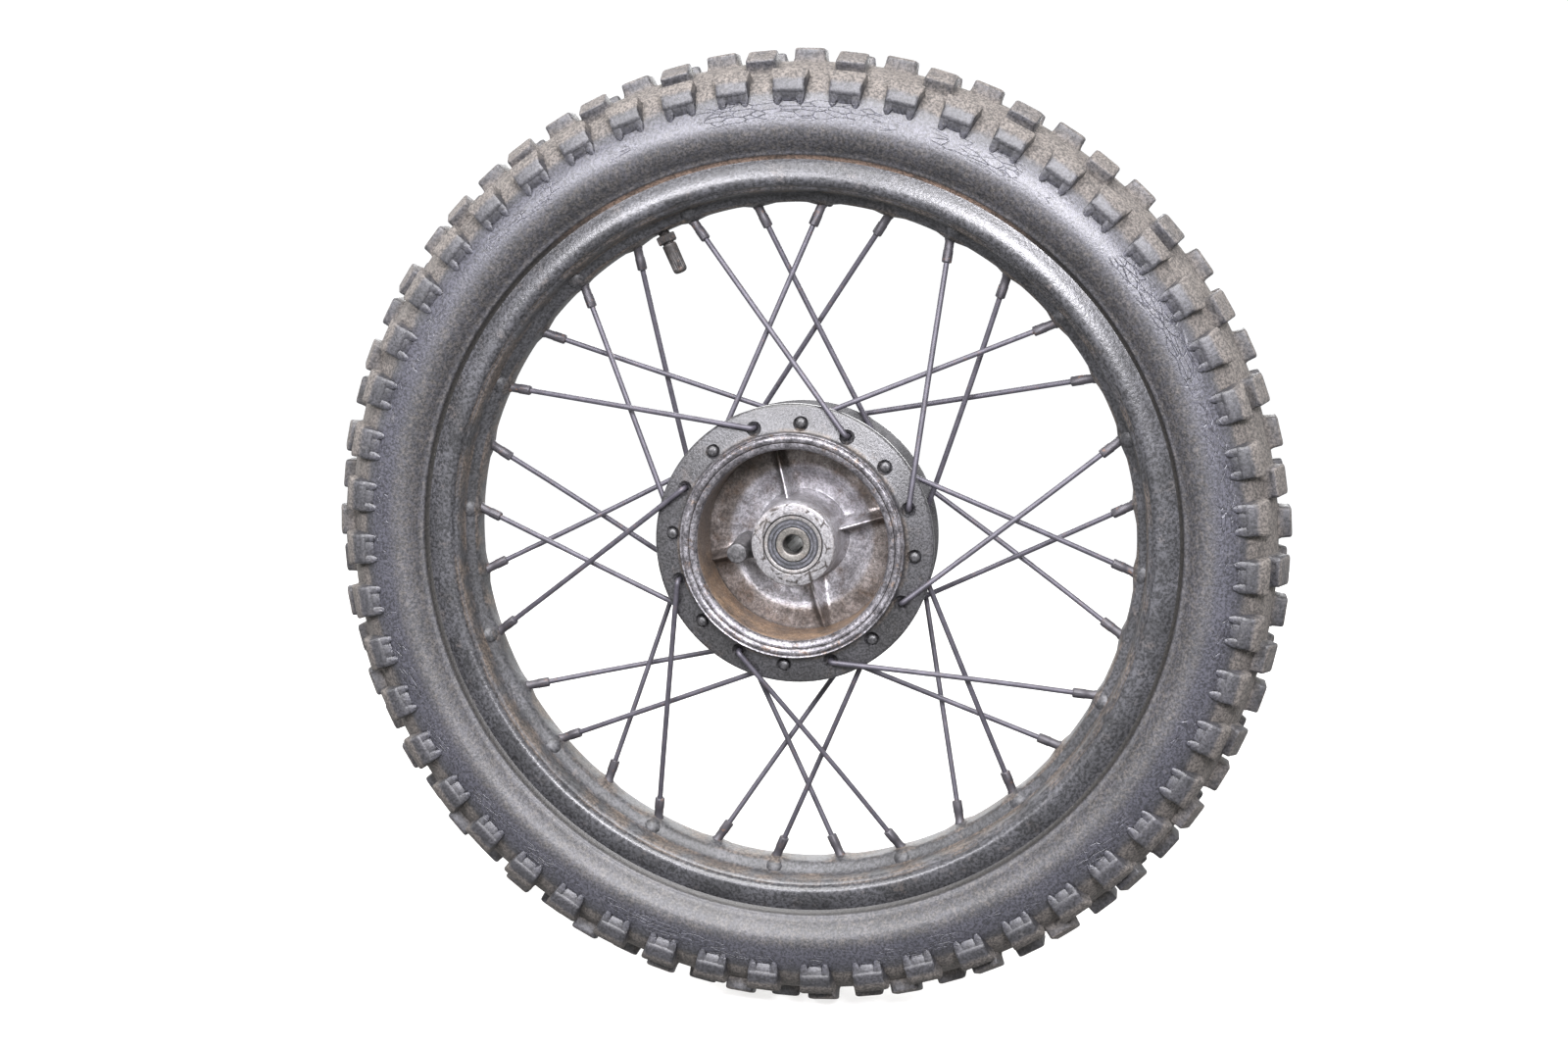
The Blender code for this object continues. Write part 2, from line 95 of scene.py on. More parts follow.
# Hub
HUB_COLUMNS = 128
HUB_SHARP = 38.0
HUB_LOOKS = ("hub", "lip", "cast", "boss")
HOLE_PROFILE = ((-9.0, 1.75), (-1.3, 1.75), (0.3, 3.75), (3.0, 4.4))
RIB_ANGLES = (15.5, 105.5, 195.5, 285.5)
RIB_HALF_TOP = 0.6
RIB_FLANK = 4.8
FLOOR_THICKNESS = 1.2
DATE_PEG = (30.6, 192.0, -15.0)
LINER_R = 48.4
LINER_LIP_Y = -22.9
BEARING_COLUMNS = 64
BEARING_YS = {"drum_side_bearing": -15.5, "far_side_bearing": 28.2}
# painted shade: inside this radius the inner races' bore faces take the dark valve finish
BORE_SHADE_R = 5.35

# Stage
CAMERA_TARGET = Vector((-0.0081, 0.0, 0.0077))
CAMERA_DISTANCE = 1.0089
CAMERA_YAW = math.radians(10.18)
CAMERA_PITCH = math.radians(-9.16)
CAMERA_LENS = 45.18
CAMERA_SENSOR = 36.0
FLOOR_Z = -0.2452
FLOOR_DEPTH = 0.02
FLOOR_GLOW = 0.78
WORLD_COLOUR = (0.98, 0.985, 1.0, 1.0)
WORLD_AS_LIGHT = 0.76
WORLD_TO_CAMERA = 1.1
WHITE = (1.0, 1.0, 1.0)
COOL_WHITE = (0.955, 0.945, 1.0)
WARM_WHITE = (1.0, 0.99, 0.99)
CENTRE = (0.0, 0.0, 0.0)
UPPER_WHEEL = (0.0, 0.0, 0.1)

RNG = np.random.default_rng(14)


# ---- mesh tools


def polar(radius, angle, y):
    """The point at this radius, angle in degrees and y, all in millimetres."""
    turn = math.radians(angle)
    return Vector((radius * math.cos(turn), y, radius * math.sin(turn)))


def make_piece(name, points, faces, looks, face_looks=None, sharp=40.0, marks=None):
    """A mesh object from millimetre points, shaded smooth but for sharp edges."""
    mesh = bpy.data.meshes.new(name)
    mesh.from_pydata((np.asarray(points, float) * MM).tolist(), [], faces)
    for look in looks:
        mesh.materials.append(LOOKS[look])
    if face_looks is not None:
        mesh.polygons.foreach_set("material_index", np.asarray(face_looks, np.int32))
    for label, values in (marks or {}).items():
        layer = mesh.attributes.new(label, "FLOAT", "POINT")
        layer.data.foreach_set("value", np.asarray(values, np.float32).ravel())
    mesh.update()
    mesh.shade_smooth()
    mesh.set_sharp_from_angle(angle=math.radians(sharp))
    obj = bpy.data.objects.new(name, mesh)
    bpy.context.scene.collection.objects.link(obj)
    return obj


def fix_normals(obj):
    """Makes every shell of a mesh face outwards."""
    bm = bmesh.new()
    bm.from_mesh(obj.data)
    bmesh.ops.recalc_face_normals(bm, faces=bm.faces[:])
    bm.to_mesh(obj.data)
    bm.free()


def stand_for(obj, body, slot, *nodes):
    """Lets a piece ride on a body and replace CAD nodes, which it hides; slot is not used."""
    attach(obj, body)
    if nodes:
        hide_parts(*nodes)


def add_shell(name, shell, looks, slot, *nodes, **settings):
    """A piece of the wheel from the (points, faces) of shells."""
    obj = make_piece(name, *shell, looks, **settings)
    fix_normals(obj)
    stand_for(obj, WHEEL, slot, *nodes)


def add_ring(name, outline, looks, body, slot, node, columns=BEARING_COLUMNS, **settings):
    """A turned piece that stands for one CAD node."""
    ring = turned(name, outline, columns, looks, **settings)
    fix_normals(ring)
    stand_for(ring, body, slot, node)


def grid_faces(rows, columns, wrap_rows, wrap_columns):
    """Quads of a grid whose points run row by row."""
    last_row = rows if wrap_rows else rows - 1
    last_column = columns if wrap_columns else columns - 1
    i, j = np.meshgrid(np.arange(last_row), np.arange(last_column), indexing="ij")
    a = (i * columns + j).ravel()
    b = (i * columns + (j + 1) % columns).ravel()
    c = (((i + 1) % rows) * columns + (j + 1) % columns).ravel()
    d = (((i + 1) % rows) * columns + j).ravel()
    return np.stack([a, b, c, d], 1)


def capped_grid(rows, sides):
    """Faces of a tube of rows of points, closed at both ends."""
    faces = grid_faces(rows, sides, False, True).tolist()
    last = (rows - 1) * sides
    faces.append(list(range(sides)))
    faces.append([last + i for i in range(sides)][::-1])
    return faces


def turned(name, outline, columns, looks, sharp=40.0, look_of=None, shift=None):
    """A closed (radius, y) outline turned about the axle. Shift may move points."""
    outline = np.asarray(outline, float)
    following = np.roll(outline, -1, 0)
    area = np.sum(outline[:, 0] * following[:, 1] - following[:, 0] * outline[:, 1])
    if area > 0:
        outline = outline[::-1]
    turn = np.linspace(0, math.tau, columns, endpoint=False)
    radius = np.repeat(outline[:, :1], columns, 1)
    y = np.repeat(outline[:, 1:], columns, 1)
    turns = np.repeat(turn[None], len(outline), 0)
    if shift:
        radius, y = shift(radius, y, turns)
    points = np.stack([radius * np.cos(turns), y, radius * np.sin(turns)], -1).reshape(-1, 3)
    faces = grid_faces(len(outline), columns, True, True)
    kinds = None
    if look_of:
        middle = (outline + np.roll(outline, -1, 0)) / 2
        kinds = np.repeat([look_of(r, along) for r, along in middle], columns)
    return make_piece(name, points, faces.tolist(), looks, kinds, sharp)


def tube(stations, sides=PIN_SIDES, squareness=None):
    """Points and faces of a closed tube through (point, radius) stations.

    Squareness, 0 to 1 at each station, bulges the corners of a nearly square tube.
    """
    places = [Vector(p) for p, _ in stations]
    points = []
    across = None
    for i, (_, radius) in enumerate(stations):
        ahead = places[min(i + 1, len(places) - 1)] - places[max(i - 1, 0)]
        ahead.normalize()
        if across is None:
            across = ahead.orthogonal()
        across = (across - ahead * across.dot(ahead)).normalized()
        other = ahead.cross(across)
        square = squareness[i] if squareness else 0.0
        for side in range(sides):
            turn = math.tau * side / sides
            reach = radius * (1.0 + square * (0.5 - 0.5 * math.cos(4.0 * turn)) * 0.18)
            offset = across * math.cos(turn) + other * math.sin(turn)
            points.append(places[i] + offset * reach)
    faces = grid_faces(len(stations), sides, False, True).tolist()
    faces.append(list(range(sides))[::-1])
    end = (len(stations) - 1) * sides
    faces.append(list(range(end, end + sides)))
    return points, [f[::-1] for f in faces]


def pin(start, direction, profile, sides=PIN_SIDES, squareness=None):
    """A closed tube on a straight line, from (distance, radius) pairs."""
    return tube([(start + direction * d, r) for d, r in profile], sides, squareness)


def joined(parts):
    """One list of points and faces from several."""
    points, faces = [], []
    for some_points, some_faces in parts:
        offset = len(points)
        points += list(some_points)
        faces += [[v + offset for v in face] for face in some_faces]
    return points, faces


# ---- materials


class Look:
    """A Principled material with short ways to add nodes. Sizes are in millimetres."""

    def __init__(self, name, roughness=0.5, metallic=0.0):
        self.material = bpy.data.materials.new(name)
        self.material.use_nodes = True
        self.tree = self.material.node_tree
        self.shader = self.tree.nodes["Principled BSDF"]
        self.shader.inputs["Roughness"].default_value = roughness
        self.shader.inputs["Metallic"].default_value = metallic
        self.place = self.add("TexCoord").outputs["Object"]
        self.relief = None

    def add(self, kind, **settings):
        node = self.tree.nodes.new("ShaderNode" + kind)
        for key, value in settings.items():
            setattr(node, key, value)
        return node

    def put(self, socket, value):
        """Links a socket to another, or sets its value."""
        if hasattr(value, "links"):
            self.tree.links.new(value, socket)
        elif isinstance(value, tuple) and len(value) == 3 and socket.type == "RGBA":
            socket.default_value = (*value, 1.0)
        else:
            socket.default_value = value

    def math(self, operation, a, b=0.0):
        node = self.add("Math", operation=operation)
        self.put(node.inputs[0], a)
        self.put(node.inputs[1], b)
        return node.outputs[0]

    def times(self, a, b):
        return self.math("MULTIPLY", a, b)

    def mix(self, factor, a, b):
        """A colour between a and b."""
        node = self.add("Mix", data_type="RGBA")
        for label, value in (("Factor", factor), ("A", a), ("B", b)):
            self.put(node.inputs[label], value)
        return node.outputs["Result"]

    def blend(self, factor, a, b):
        """A number between a and b."""
        node = self.add("Mix", data_type="FLOAT")
        for index, value in ((0, factor), (2, a), (3, b)):
            self.put(node.inputs[index], value)
        return node.outputs[0]

    def ramp(self, value, low, high, out_low=0.0, out_high=1.0):
        node = self.add("MapRange", interpolation_type="SMOOTHSTEP")
        for socket, number in zip(node.inputs, (value, low, high, out_low, out_high)):
            self.put(socket, number)
        return node.outputs[0]

    def noise(self, size, detail=3.0, roughness=0.55, place=None):
        """Noise whose features are about this size."""
        node = self.add("TexNoise")
        self.put(node.inputs["Vector"], place or self.place)
        node.inputs["Scale"].default_value = 1.0 / (size * MM)
        node.inputs["Detail"].default_value = detail
        node.inputs["Roughness"].default_value = roughness
        return node.outputs["Fac"]

    def split(self):
        """The x, y and z of a point, in metres."""
        node = self.add("SeparateXYZ")
        self.put(node.inputs[0], self.place)
        return node.outputs

    def radius(self):
        """Distance from the axle."""
        x, _, z = self.split()
        squared = self.math("ADD", self.times(x, x), self.times(z, z))
        return self.times(self.math("SQRT", squared), 1000.0)

    def along(self):
        """Distance along the axle, which is y."""
        return self.times(self.split()[1], 1000.0)

    def up(self):
        """Height above the axle, which is z."""
        return self.times(self.split()[2], 1000.0)

    def ring_place(self, around=12.0):
        """Coordinates that stretch a texture round the axle, for turned marks."""
        x, y, z = self.split()
        angle = self.math("ARCTAN2", z, x)
        node = self.add("CombineXYZ")
        self.put(node.inputs[0], self.times(self.radius(), MM))
        self.put(node.inputs[1], y)
        self.put(node.inputs[2], self.times(angle, around * MM))
        return node.outputs[0]

    def mark(self, label):
        """A number stored at the mesh's points."""
        return self.add("Attribute", attribute_name=label).outputs["Fac"]

    def creases(self, distance):
        """0 in crevices and 1 on open surface."""
        node = self.add("AmbientOcclusion", samples=8)
        node.inputs["Distance"].default_value = distance * MM
        return node.outputs["AO"]

    def crevice_shade(self, distance, low=0.3, high=0.75):
        """A mask that is 1 in crevices, from ambient occlusion, for painting shade there."""
        return self.ramp(self.creases(distance), low, high, 1.0, 0.0)

    def band(self, value, middle, half, soft):
        """A mask that is 1 within half of the middle, falling to 0 over soft."""
        away = self.math("ABSOLUTE", self.math("SUBTRACT", value, middle))
        return self.ramp(away, half, half + soft, 1.0, 0.0)

    def patches(self, size, low, high, roughness=0.7, detail=5.0):
        """A mask of soft patches: noise cut between low and high."""
        return self.ramp(self.noise(size, detail, roughness), low, high)

    def specks(self, size, amount):
        """A mask of rare small specks."""
        return self.ramp(self.noise(size, 2.0, 0.8), 0.68, 0.78, 0.0, amount)

    def cracks(self, size, around, width, depth, where):
        """A mask of fine cracks between cells stretched round the axle."""
        node = self.add("TexVoronoi", feature="DISTANCE_TO_EDGE")
        self.put(node.inputs["Vector"], self.ring_place(around))
        node.inputs["Scale"].default_value = 1.0 / (size * MM)
        line = self.ramp(node.outputs["Distance"], 0.0, width, depth, 0.0)
        return self.times(line, where)

    def tones(self, cloud, one, other, low=0.35, high=0.65):
        """Two colours that a noise mixes."""
        return self.mix(self.ramp(cloud, low, high), one, other)

    def cover(self, base, mask, strength, colour):
        """The base with a colour laid over it."""
        return self.mix(self.times(mask, strength), base, colour)

    def scaled(self, colour, factor):
        node = self.add("VectorMath", operation="SCALE")
        self.put(node.inputs[0], colour)
        self.put(node.inputs["Scale"], factor)
        return node.outputs[0]

    def grainy(self, colour, size=1.3, low=0.5, high=1.6):
        """The colour, made darker and lighter in grains of this size."""
        return self.scaled(colour, self.ramp(self.noise(size, 2.0, 0.75), 0.36, 0.64, low, high))

    def colour(self, value):
        self.put(self.shader.inputs["Base Color"], value)

    def rough(self, value):
        self.put(self.shader.inputs["Roughness"], value)

    def metal(self, value):
        self.put(self.shader.inputs["Metallic"], value)

    def bump(self, value, depth):
        """Adds relief of this depth on top of earlier relief."""
        node = self.add("Bump")
        node.inputs["Strength"].default_value = 1.0
        node.inputs["Distance"].default_value = depth * MM
        self.put(node.inputs["Height"], value)
        if self.relief:
            self.put(node.inputs["Normal"], self.relief)
        self.relief = node.outputs["Normal"]
        self.put(self.shader.inputs["Normal"], self.relief)


def rubber_look():
    """Old rubber: dusty tread, a cracked, glossier wall with a painted sheen, dirt and rust at the
    bead, and painted shade in crevices, at the rim joint and on the shoulder blocks' feet.
    """
    look = Look("aged_tyre_rubber", 0.45)
    radius = look.radius()
    base = look.noise(30.0, 4.0, 0.6)
    base = look.tones(base, (0.0155, 0.0155, 0.0175), (0.025, 0.0245, 0.028), 0.3, 0.7)
    # painted sheen: a band round radius 213 mm gets a lighter, bluer colour as a painted highlight;
    # the same band lowers the roughness
    sheen = look.band(radius, 213.0, 2.5, 7.0)
    base = look.cover(base, sheen, 0.6, (0.031, 0.031, 0.04))
    streak = look.ramp(look.noise(4.0, 5.0, 0.7, look.ring_place(900.0)), 0.55, 0.72)
    base = look.cover(base, streak, 0.25, (0.07, 0.065, 0.07))
    base = look.cover(base, look.patches(9.0, 0.56, 0.72, 0.75, 6.0), 0.25, (0.085, 0.08, 0.076))
    dust_and_shade = look.math("ADD", look.times(look.mark("dust_and_shade"), 0.9), look.noise(5.0, 5.0, 0.7))
    dust_and_shade = look.ramp(dust_and_shade, 0.75, 1.4)
    brown = look.mix(look.noise(7.0, 4.0, 0.7), (0.034, 0.03, 0.027), (0.086, 0.075, 0.066))
    base = look.cover(base, dust_and_shade, 0.9, brown)
    dirt = look.times(look.band(radius, 199.5, 4.0, 6.0), look.patches(3.0, 0.42, 0.66, 0.8))
    base = look.cover(base, dirt, 0.6, (0.05, 0.044, 0.038))
    upper = look.ramp(look.up(), 145.0, 175.0)
    rust = look.times(look.ramp(look.noise(16.0, 4.0), 0.25, 0.45, 0.3, 0.9), upper)
    # the bead band next to the rim is rust brown at the top of the wheel and near-black elsewhere;
    # the near-black is painted shade at the joint with the rim
    bead_rust_and_shade = look.mix(rust, (0.008, 0.007, 0.006), (0.105, 0.072, 0.054))
    base = look.mix(look.band(radius, 191.6, 0.7, 0.7), base, bead_rust_and_shade)
    # painted shade: ambient occlusion darkens the rubber in crevices
    base = look.scaled(base, look.ramp(look.creases(6.0), 0.2, 0.8, 0.35, 1.0))
    # painted shade: where the dust-and-shade mark is below 0, on the shoulder blocks' feet, the web
    # between them and a little on their outer walls, the rubber is darkened
    base = look.scaled(base, look.ramp(look.mark("dust_and_shade"), -1.0, 0.0, 0.35, 1.0))
    base = look.grainy(base, 1.3, 0.5, 1.65)
    look.colour(look.mix(look.specks(1.1, 0.55), base, (0.17, 0.155, 0.14)))
    look.rough(look.blend(dust_and_shade, look.blend(sheen, 0.5, 0.4), 0.85))
    look.bump(look.noise(1.7, 4.0, 0.65), 0.2)
    cracked = look.times(
        look.band(radius, 213.5, 3.0, 3.5), look.ramp(look.noise(22.0), 0.45, 0.6)
    )
    look.bump(look.cracks(2.6, 60.0, 0.07, 1.0, cracked), -0.25)
    return look.material


def paint_look(name, base_a, base_b, dirt_rings, gloss=0.4, grain=1.25, dull=None):
    """Dark textured paint, with dirt on (radius, half width, soft edge, strength) rings.

    Dull is ("radius" or "along", middle, half width, shade): a band of painted shade, where the
    paint is also matt.
    """
    look = Look(name, gloss)
    radius = look.radius()
    base = look.tones(look.noise(26.0, 4.0, 0.6), base_a, base_b)
    base = look.cover(base, look.patches(4.0, 0.6, 0.76, 0.75, 6.0), 0.15, (0.09, 0.084, 0.08))
    dirt = look.times(look.patches(12.0, 0.55, 0.75), 0.2)
    patch = look.patches(16.0, 0.4, 0.62, 0.6)
    for ring, half, soft, strength in dirt_rings:
        band = look.times(look.band(radius, ring, half, soft), strength)
        dirt = look.math("MAXIMUM", dirt, look.times(band, patch))
    brown = look.mix(look.noise(3.0, 4.0, 0.7), (0.05, 0.037, 0.027), (0.11, 0.078, 0.052))
    base = look.grainy(look.mix(dirt, base, brown), grain, 0.45, 1.75)
    colour = look.mix(look.specks(1.0, 0.6), base, (0.2, 0.19, 0.185))
    rough = look.blend(dirt, look.blend(look.noise(2.0), gloss - 0.07, gloss + 0.08), 0.75)
    # painted shade: the dull band darkens the colour by its shade factor; the paint there is also
    # made matt
    if dull:
        axis, middle, half, shade = dull
        there = look.band(radius if axis == "radius" else look.along(), middle, half, 0.8)
        colour = look.scaled(colour, look.blend(there, 1.0, shade))
        rough = look.blend(look.times(there, 0.5), rough, 0.75)
    look.colour(colour)
    look.rough(rough)
    look.bump(look.noise(grain, 3.0, 0.6), 0.17)
    return look.material


def spoke_look(name, tint, rust_amount):
    look = Look(name, 0.38, 0.55)
    base = look.tones(look.noise(5.0, 5.0, 0.7), tint, tuple(c * 1.55 for c in tint), 0.35, 0.7)
    rust = look.times(look.patches(3.2, 0.56, 0.7, 0.75), rust_amount)
    look.colour(look.mix(rust, base, (0.17, 0.085, 0.045)))
    look.rough(look.blend(rust, look.blend(look.noise(2.5), 0.46, 0.56), 0.85))
    look.metal(look.blend(rust, 0.35, 0.1))
    look.bump(look.noise(0.9, 3.0, 0.6), 0.02)
    return look.material


def cast_look():
    """Cast aluminium: a bowl round the boss painted lighter as a painted highlight, and a browner
    flat outside it painted darker as painted shade from the drum's lip.
    """
    look = Look("stained_cast_aluminium", 0.4, 0.5)
    cloud = look.noise(12.0, 5.0, 0.62)
    # painted highlight and shade: the bowl's tones are lighter for its highlights, the flat's
    # darker for the shadow of the drum's lip; the flat's brown tint is stain
    bowl = look.tones(cloud, (0.19, 0.182, 0.189), (0.335, 0.327, 0.343), 0.35, 0.62)
    outer = look.tones(cloud, (0.068, 0.057, 0.051), (0.16, 0.14, 0.131))
    base = look.mix(look.ramp(look.radius(), 35.0, 39.0), bowl, outer)
    base = look.cover(base, look.patches(9.0, 0.48, 0.7), 0.6, (0.085, 0.056, 0.038))
    # painted shade: ambient occlusion darkens crevices nearly to black and makes them less metallic
    crevice_shade = look.crevice_shade(5.0, 0.2, 0.7)
    base = look.cover(base, crevice_shade, 0.85, (0.025, 0.019, 0.015))
    base = look.grainy(base, 1.3, 0.7, 1.35)
    worn = look.times(look.patches(1.2, 0.58, 0.68, 0.8, 3.0), look.ramp(cloud, 0.5, 0.6))
    look.colour(look.cover(base, worn, 0.6, (0.45, 0.43, 0.42)))
    look.rough(look.blend(look.noise(3.0, 4.0), 0.26, 0.48))
    look.metal(look.blend(crevice_shade, 0.55, 0.1))
    look.bump(look.noise(1.4, 4.0, 0.7), 0.16)
    look.bump(look.noise(6.0, 3.0), 0.4)
    return look.material


def worn_look():
    """Old bare metal, dark and pitted, rubbed bright in specks."""
    look = Look("worn_lip", 0.36, 0.6)
    base = look.tones(look.noise(8.0, 5.0, 0.7), (0.055, 0.052, 0.056), (0.155, 0.15, 0.16))
    base = look.cover(base, look.patches(5.0, 0.54, 0.68, 0.75), 0.7, (0.13, 0.085, 0.055))
    # painted shade: ambient occlusion darkens crevices
    base = look.cover(base, look.crevice_shade(2.0), 0.85, (0.03, 0.026, 0.024))
    base = look.grainy(base, 1.2, 0.5, 1.6)
    bright = look.ramp(look.noise(1.3, 3.0, 0.8), 0.62, 0.72, 0.0, 0.7)
    look.colour(look.mix(bright, base, (0.4, 0.385, 0.38)))
    look.rough(look.blend(look.noise(1.8, 4.0), 0.26, 0.5))
    look.bump(look.noise(1.5, 4.0, 0.75), 0.16)
    return look.material


def turned_look(name, bright, dull, groove=0.6, rough_low=0.3, stain=0.3, cracks=0.0):
    """Machined metal with rings round the axle, stains and, where aged, cracks."""
    look = Look(name, 0.35, 0.6)
    lines = look.noise(groove, 3.0, 0.6, look.ring_place(9.0))
    base = look.tones(lines, dull, bright)
    stained = look.times(look.patches(6.0, 0.5, 0.68), stain)
    base = look.grainy(look.mix(stained, base, (0.13, 0.095, 0.07)), 1.2, 0.75, 1.25)
    if cracks:
        where = look.ramp(look.noise(4.0), 0.42, 0.55)
        base = look.mix(look.cracks(5.5, 10.0, 0.11, cracks, where), base, (0.03, 0.025, 0.022))
    # painted shade: ambient occlusion darkens crevices
    look.colour(look.cover(base, look.crevice_shade(2.5), 0.8, (0.03, 0.026, 0.023)))
    look.rough(look.blend(look.noise(1.5, 4.0), rough_low, rough_low + 0.25))
    look.metal(look.blend(stained, 0.7, 0.3))
    look.bump(lines, 0.05)
    look.bump(look.noise(1.6, 5.0, 0.75), 0.08)
    return look.material


def rust_look():
    """The liner's braking face: rust in rings, greyer above and at its near edge."""
    look = Look("rusty_drum_liner", 0.6, 0.3)
    lines = look.noise(1.0, 4.0, 0.65, look.ring_place(10.0))
    cloud = look.noise(11.0, 5.0, 0.68)
    base = look.tones(cloud, (0.062, 0.044, 0.033), (0.155, 0.102, 0.064), 0.34, 0.66)
    base = look.cover(base, look.ramp(lines, 0.45, 0.7), 0.5, (0.15, 0.12, 0.095))
    base = look.cover(base, look.ramp(look.up(), -30.0, 5.0), 0.75, (0.075, 0.064, 0.057))
    near_edge = look.ramp(look.along(), -23.5, -21.0, 1.0, 0.0)
    base = look.cover(base, near_edge, 0.7, (0.16, 0.14, 0.13))
    base = look.grainy(base, 1.3, 0.6, 1.45)
    look.colour(look.mix(look.patches(1.2, 0.62, 0.72, 0.7, 4.0), base, (0.3, 0.27, 0.24)))
    look.rough(look.blend(cloud, 0.4, 0.7))
    look.bump(lines, 0.08)
    look.bump(look.noise(1.2, 4.0, 0.7), 0.08)
    return look.material


def seal_look():
    look = Look("seal_rubber", 0.55)
    cloud = look.noise(3.0, 4.0, 0.65)
    base = look.tones(cloud, (0.018, 0.019, 0.022), (0.048, 0.048, 0.056), 0.3, 0.7)
    base = look.grainy(base, 1.1, 0.5, 1.6)
    # painted shade: ambient occlusion darkens the seal in its crevices
    base = look.scaled(base, look.ramp(look.creases(1.5), 0.35, 0.85, 0.15, 1.0))
    look.colour(look.mix(look.patches(1.0, 0.64, 0.76, 0.8, 3.0), base, (0.17, 0.155, 0.14)))
    look.rough(look.blend(cloud, 0.42, 0.65))
    look.bump(look.noise(0.5, 3.0), 0.04)
    return look.material


def plain_look(name, one, other, rust=0.3):
    """A plain dark finish with a little rust, for small and hidden pieces."""
    look = Look(name, 0.5, 0.5)
    cloud = look.noise(3.5, 5.0, 0.7)
    rusty = look.times(look.patches(2.2, 0.52, 0.68), rust)
    look.colour(look.mix(rusty, look.tones(cloud, one, other), (0.2, 0.12, 0.075)))
    look.rough(look.blend(cloud, 0.4, 0.7))
    look.metal(look.blend(rusty, 0.5, 0.1))
    look.bump(look.noise(0.6, 4.0, 0.7), 0.06)
    return look.material


def floor_look():
    look = Look("pale_floor", 0.85)
    look.colour(look.tones(look.noise(160.0, 4.0, 0.6), (0.2, 0.198, 0.195), (0.24, 0.238, 0.235)))
    look.bump(look.noise(3.0, 4.0), 0.05)
    look.put(look.shader.inputs["Emission Color"], (1.0, 0.99, 0.98))
    look.shader.inputs["Emission Strength"].default_value = FLOOR_GLOW
    return look.material


RIM_TONES = ((0.019, 0.019, 0.0205), (0.0305, 0.0305, 0.0335))
RIM_DIRT = [(170.0, 0.9, 0.6, 0.45), (175.9, 0.6, 0.5, 0.45), (177.6, 0.25, 0.35, 0.35)]
# painted shade on the rim's well and underside, darkened to 0.9; the paint there is also matt
RIM_MATT_PAINTED_SHADE = ("radius", 165.0, 11.5, 0.9)
HUB_TONES = ((0.018, 0.0175, 0.018), (0.027, 0.0265, 0.0285))
HUB_DIRT = [(58.2, 0.4, 1.0, 0.35)]
# painted shade between the flanges, darkened to 0.35; the paint there is also matt
HUB_MATT_PAINTED_SHADE = ("along", 1.5, 16.2, 0.35)
PEG_TONES = ((0.026, 0.025, 0.026), (0.041, 0.04, 0.041))
BOSS_TONES = ((0.235, 0.23, 0.235), (0.15, 0.146, 0.148))
RACE_TONES = ((0.24, 0.231, 0.229), (0.142, 0.136, 0.131))
TAN_TONES = ((0.145, 0.137, 0.126), (0.084, 0.079, 0.073))
VALVE_TONES = ((0.02, 0.019, 0.019), (0.05, 0.046, 0.044))
# painted shade: near-black tones for the bearing spacer seen down the bore
BORE_SHADE_TONES = ((0.007, 0.0068, 0.0065), (0.014, 0.013, 0.012))
TUBE_TONES = ((0.02, 0.02, 0.021), (0.035, 0.035, 0.036))

LOOKS = {
    "rubber": rubber_look(),
    "rim": paint_look("rim_paint", *RIM_TONES, RIM_DIRT, 0.33, 1.5, RIM_MATT_PAINTED_SHADE),
    "hub": paint_look("hub_paint", *HUB_TONES, HUB_DIRT, 0.38, 1.1, HUB_MATT_PAINTED_SHADE),
    "peg": paint_look("peg_paint", *PEG_TONES, [], 0.45, 1.4),
    "spoke": spoke_look("spoke_steel", (0.036, 0.0335, 0.042), 0.2),
    "nipple": spoke_look("nipple_steel", (0.03, 0.028, 0.032), 0.5),
    "cast": cast_look(),
    "lip": worn_look(),
    "boss": turned_look("machined_boss", *BOSS_TONES, 0.7, 0.34, 0.3, 1.0),
    "race": turned_look("bearing_steel", *RACE_TONES, 0.6, 0.28, 0.35),
    "tan": turned_look("stained_race", *TAN_TONES, 0.6, 0.36, 0.35),
    "rust": rust_look(),
    "seal": seal_look(),
    "valve": plain_look("valve_metal", *VALVE_TONES, 0.2),
    "bore": plain_look("bore_steel_painted_shade", *BORE_SHADE_TONES, 0.05),
    "tube": plain_look("butyl_rubber", *TUBE_TONES, 0.1),
}


# ---- tyre


def crown(height, tilt):
    """(radius, y) on the crown arc, sunk by height, at a tilt from radial."""
    arc = CROWN_ARC_R - height
    turn = math.radians(tilt)
    return CROWN_R - CROWN_ARC_R + arc * math.cos(turn), arc * math.sin(turn)


def smooth_line(points, steps):
    """A Catmull-Rom line through the points."""
    points = [np.array(p, float) for p in points]
    ends = [2 * points[0] - points[1], *points, 2 * points[-1] - points[-2]]
    line = []
    for a, b, c, d in zip(ends, ends[1:], ends[2:], ends[3:]):
        for step in range(steps):
            t = step / steps
            square = (2 * a - 5 * b + 4 * c - d) * t**2
            cube = (3 * b - a - 3 * c + d) * t**3
            line.append(tuple(0.5 * (2 * b + (c - a) * t + square + cube)))
    line.append(tuple(points[-1]))
    return line


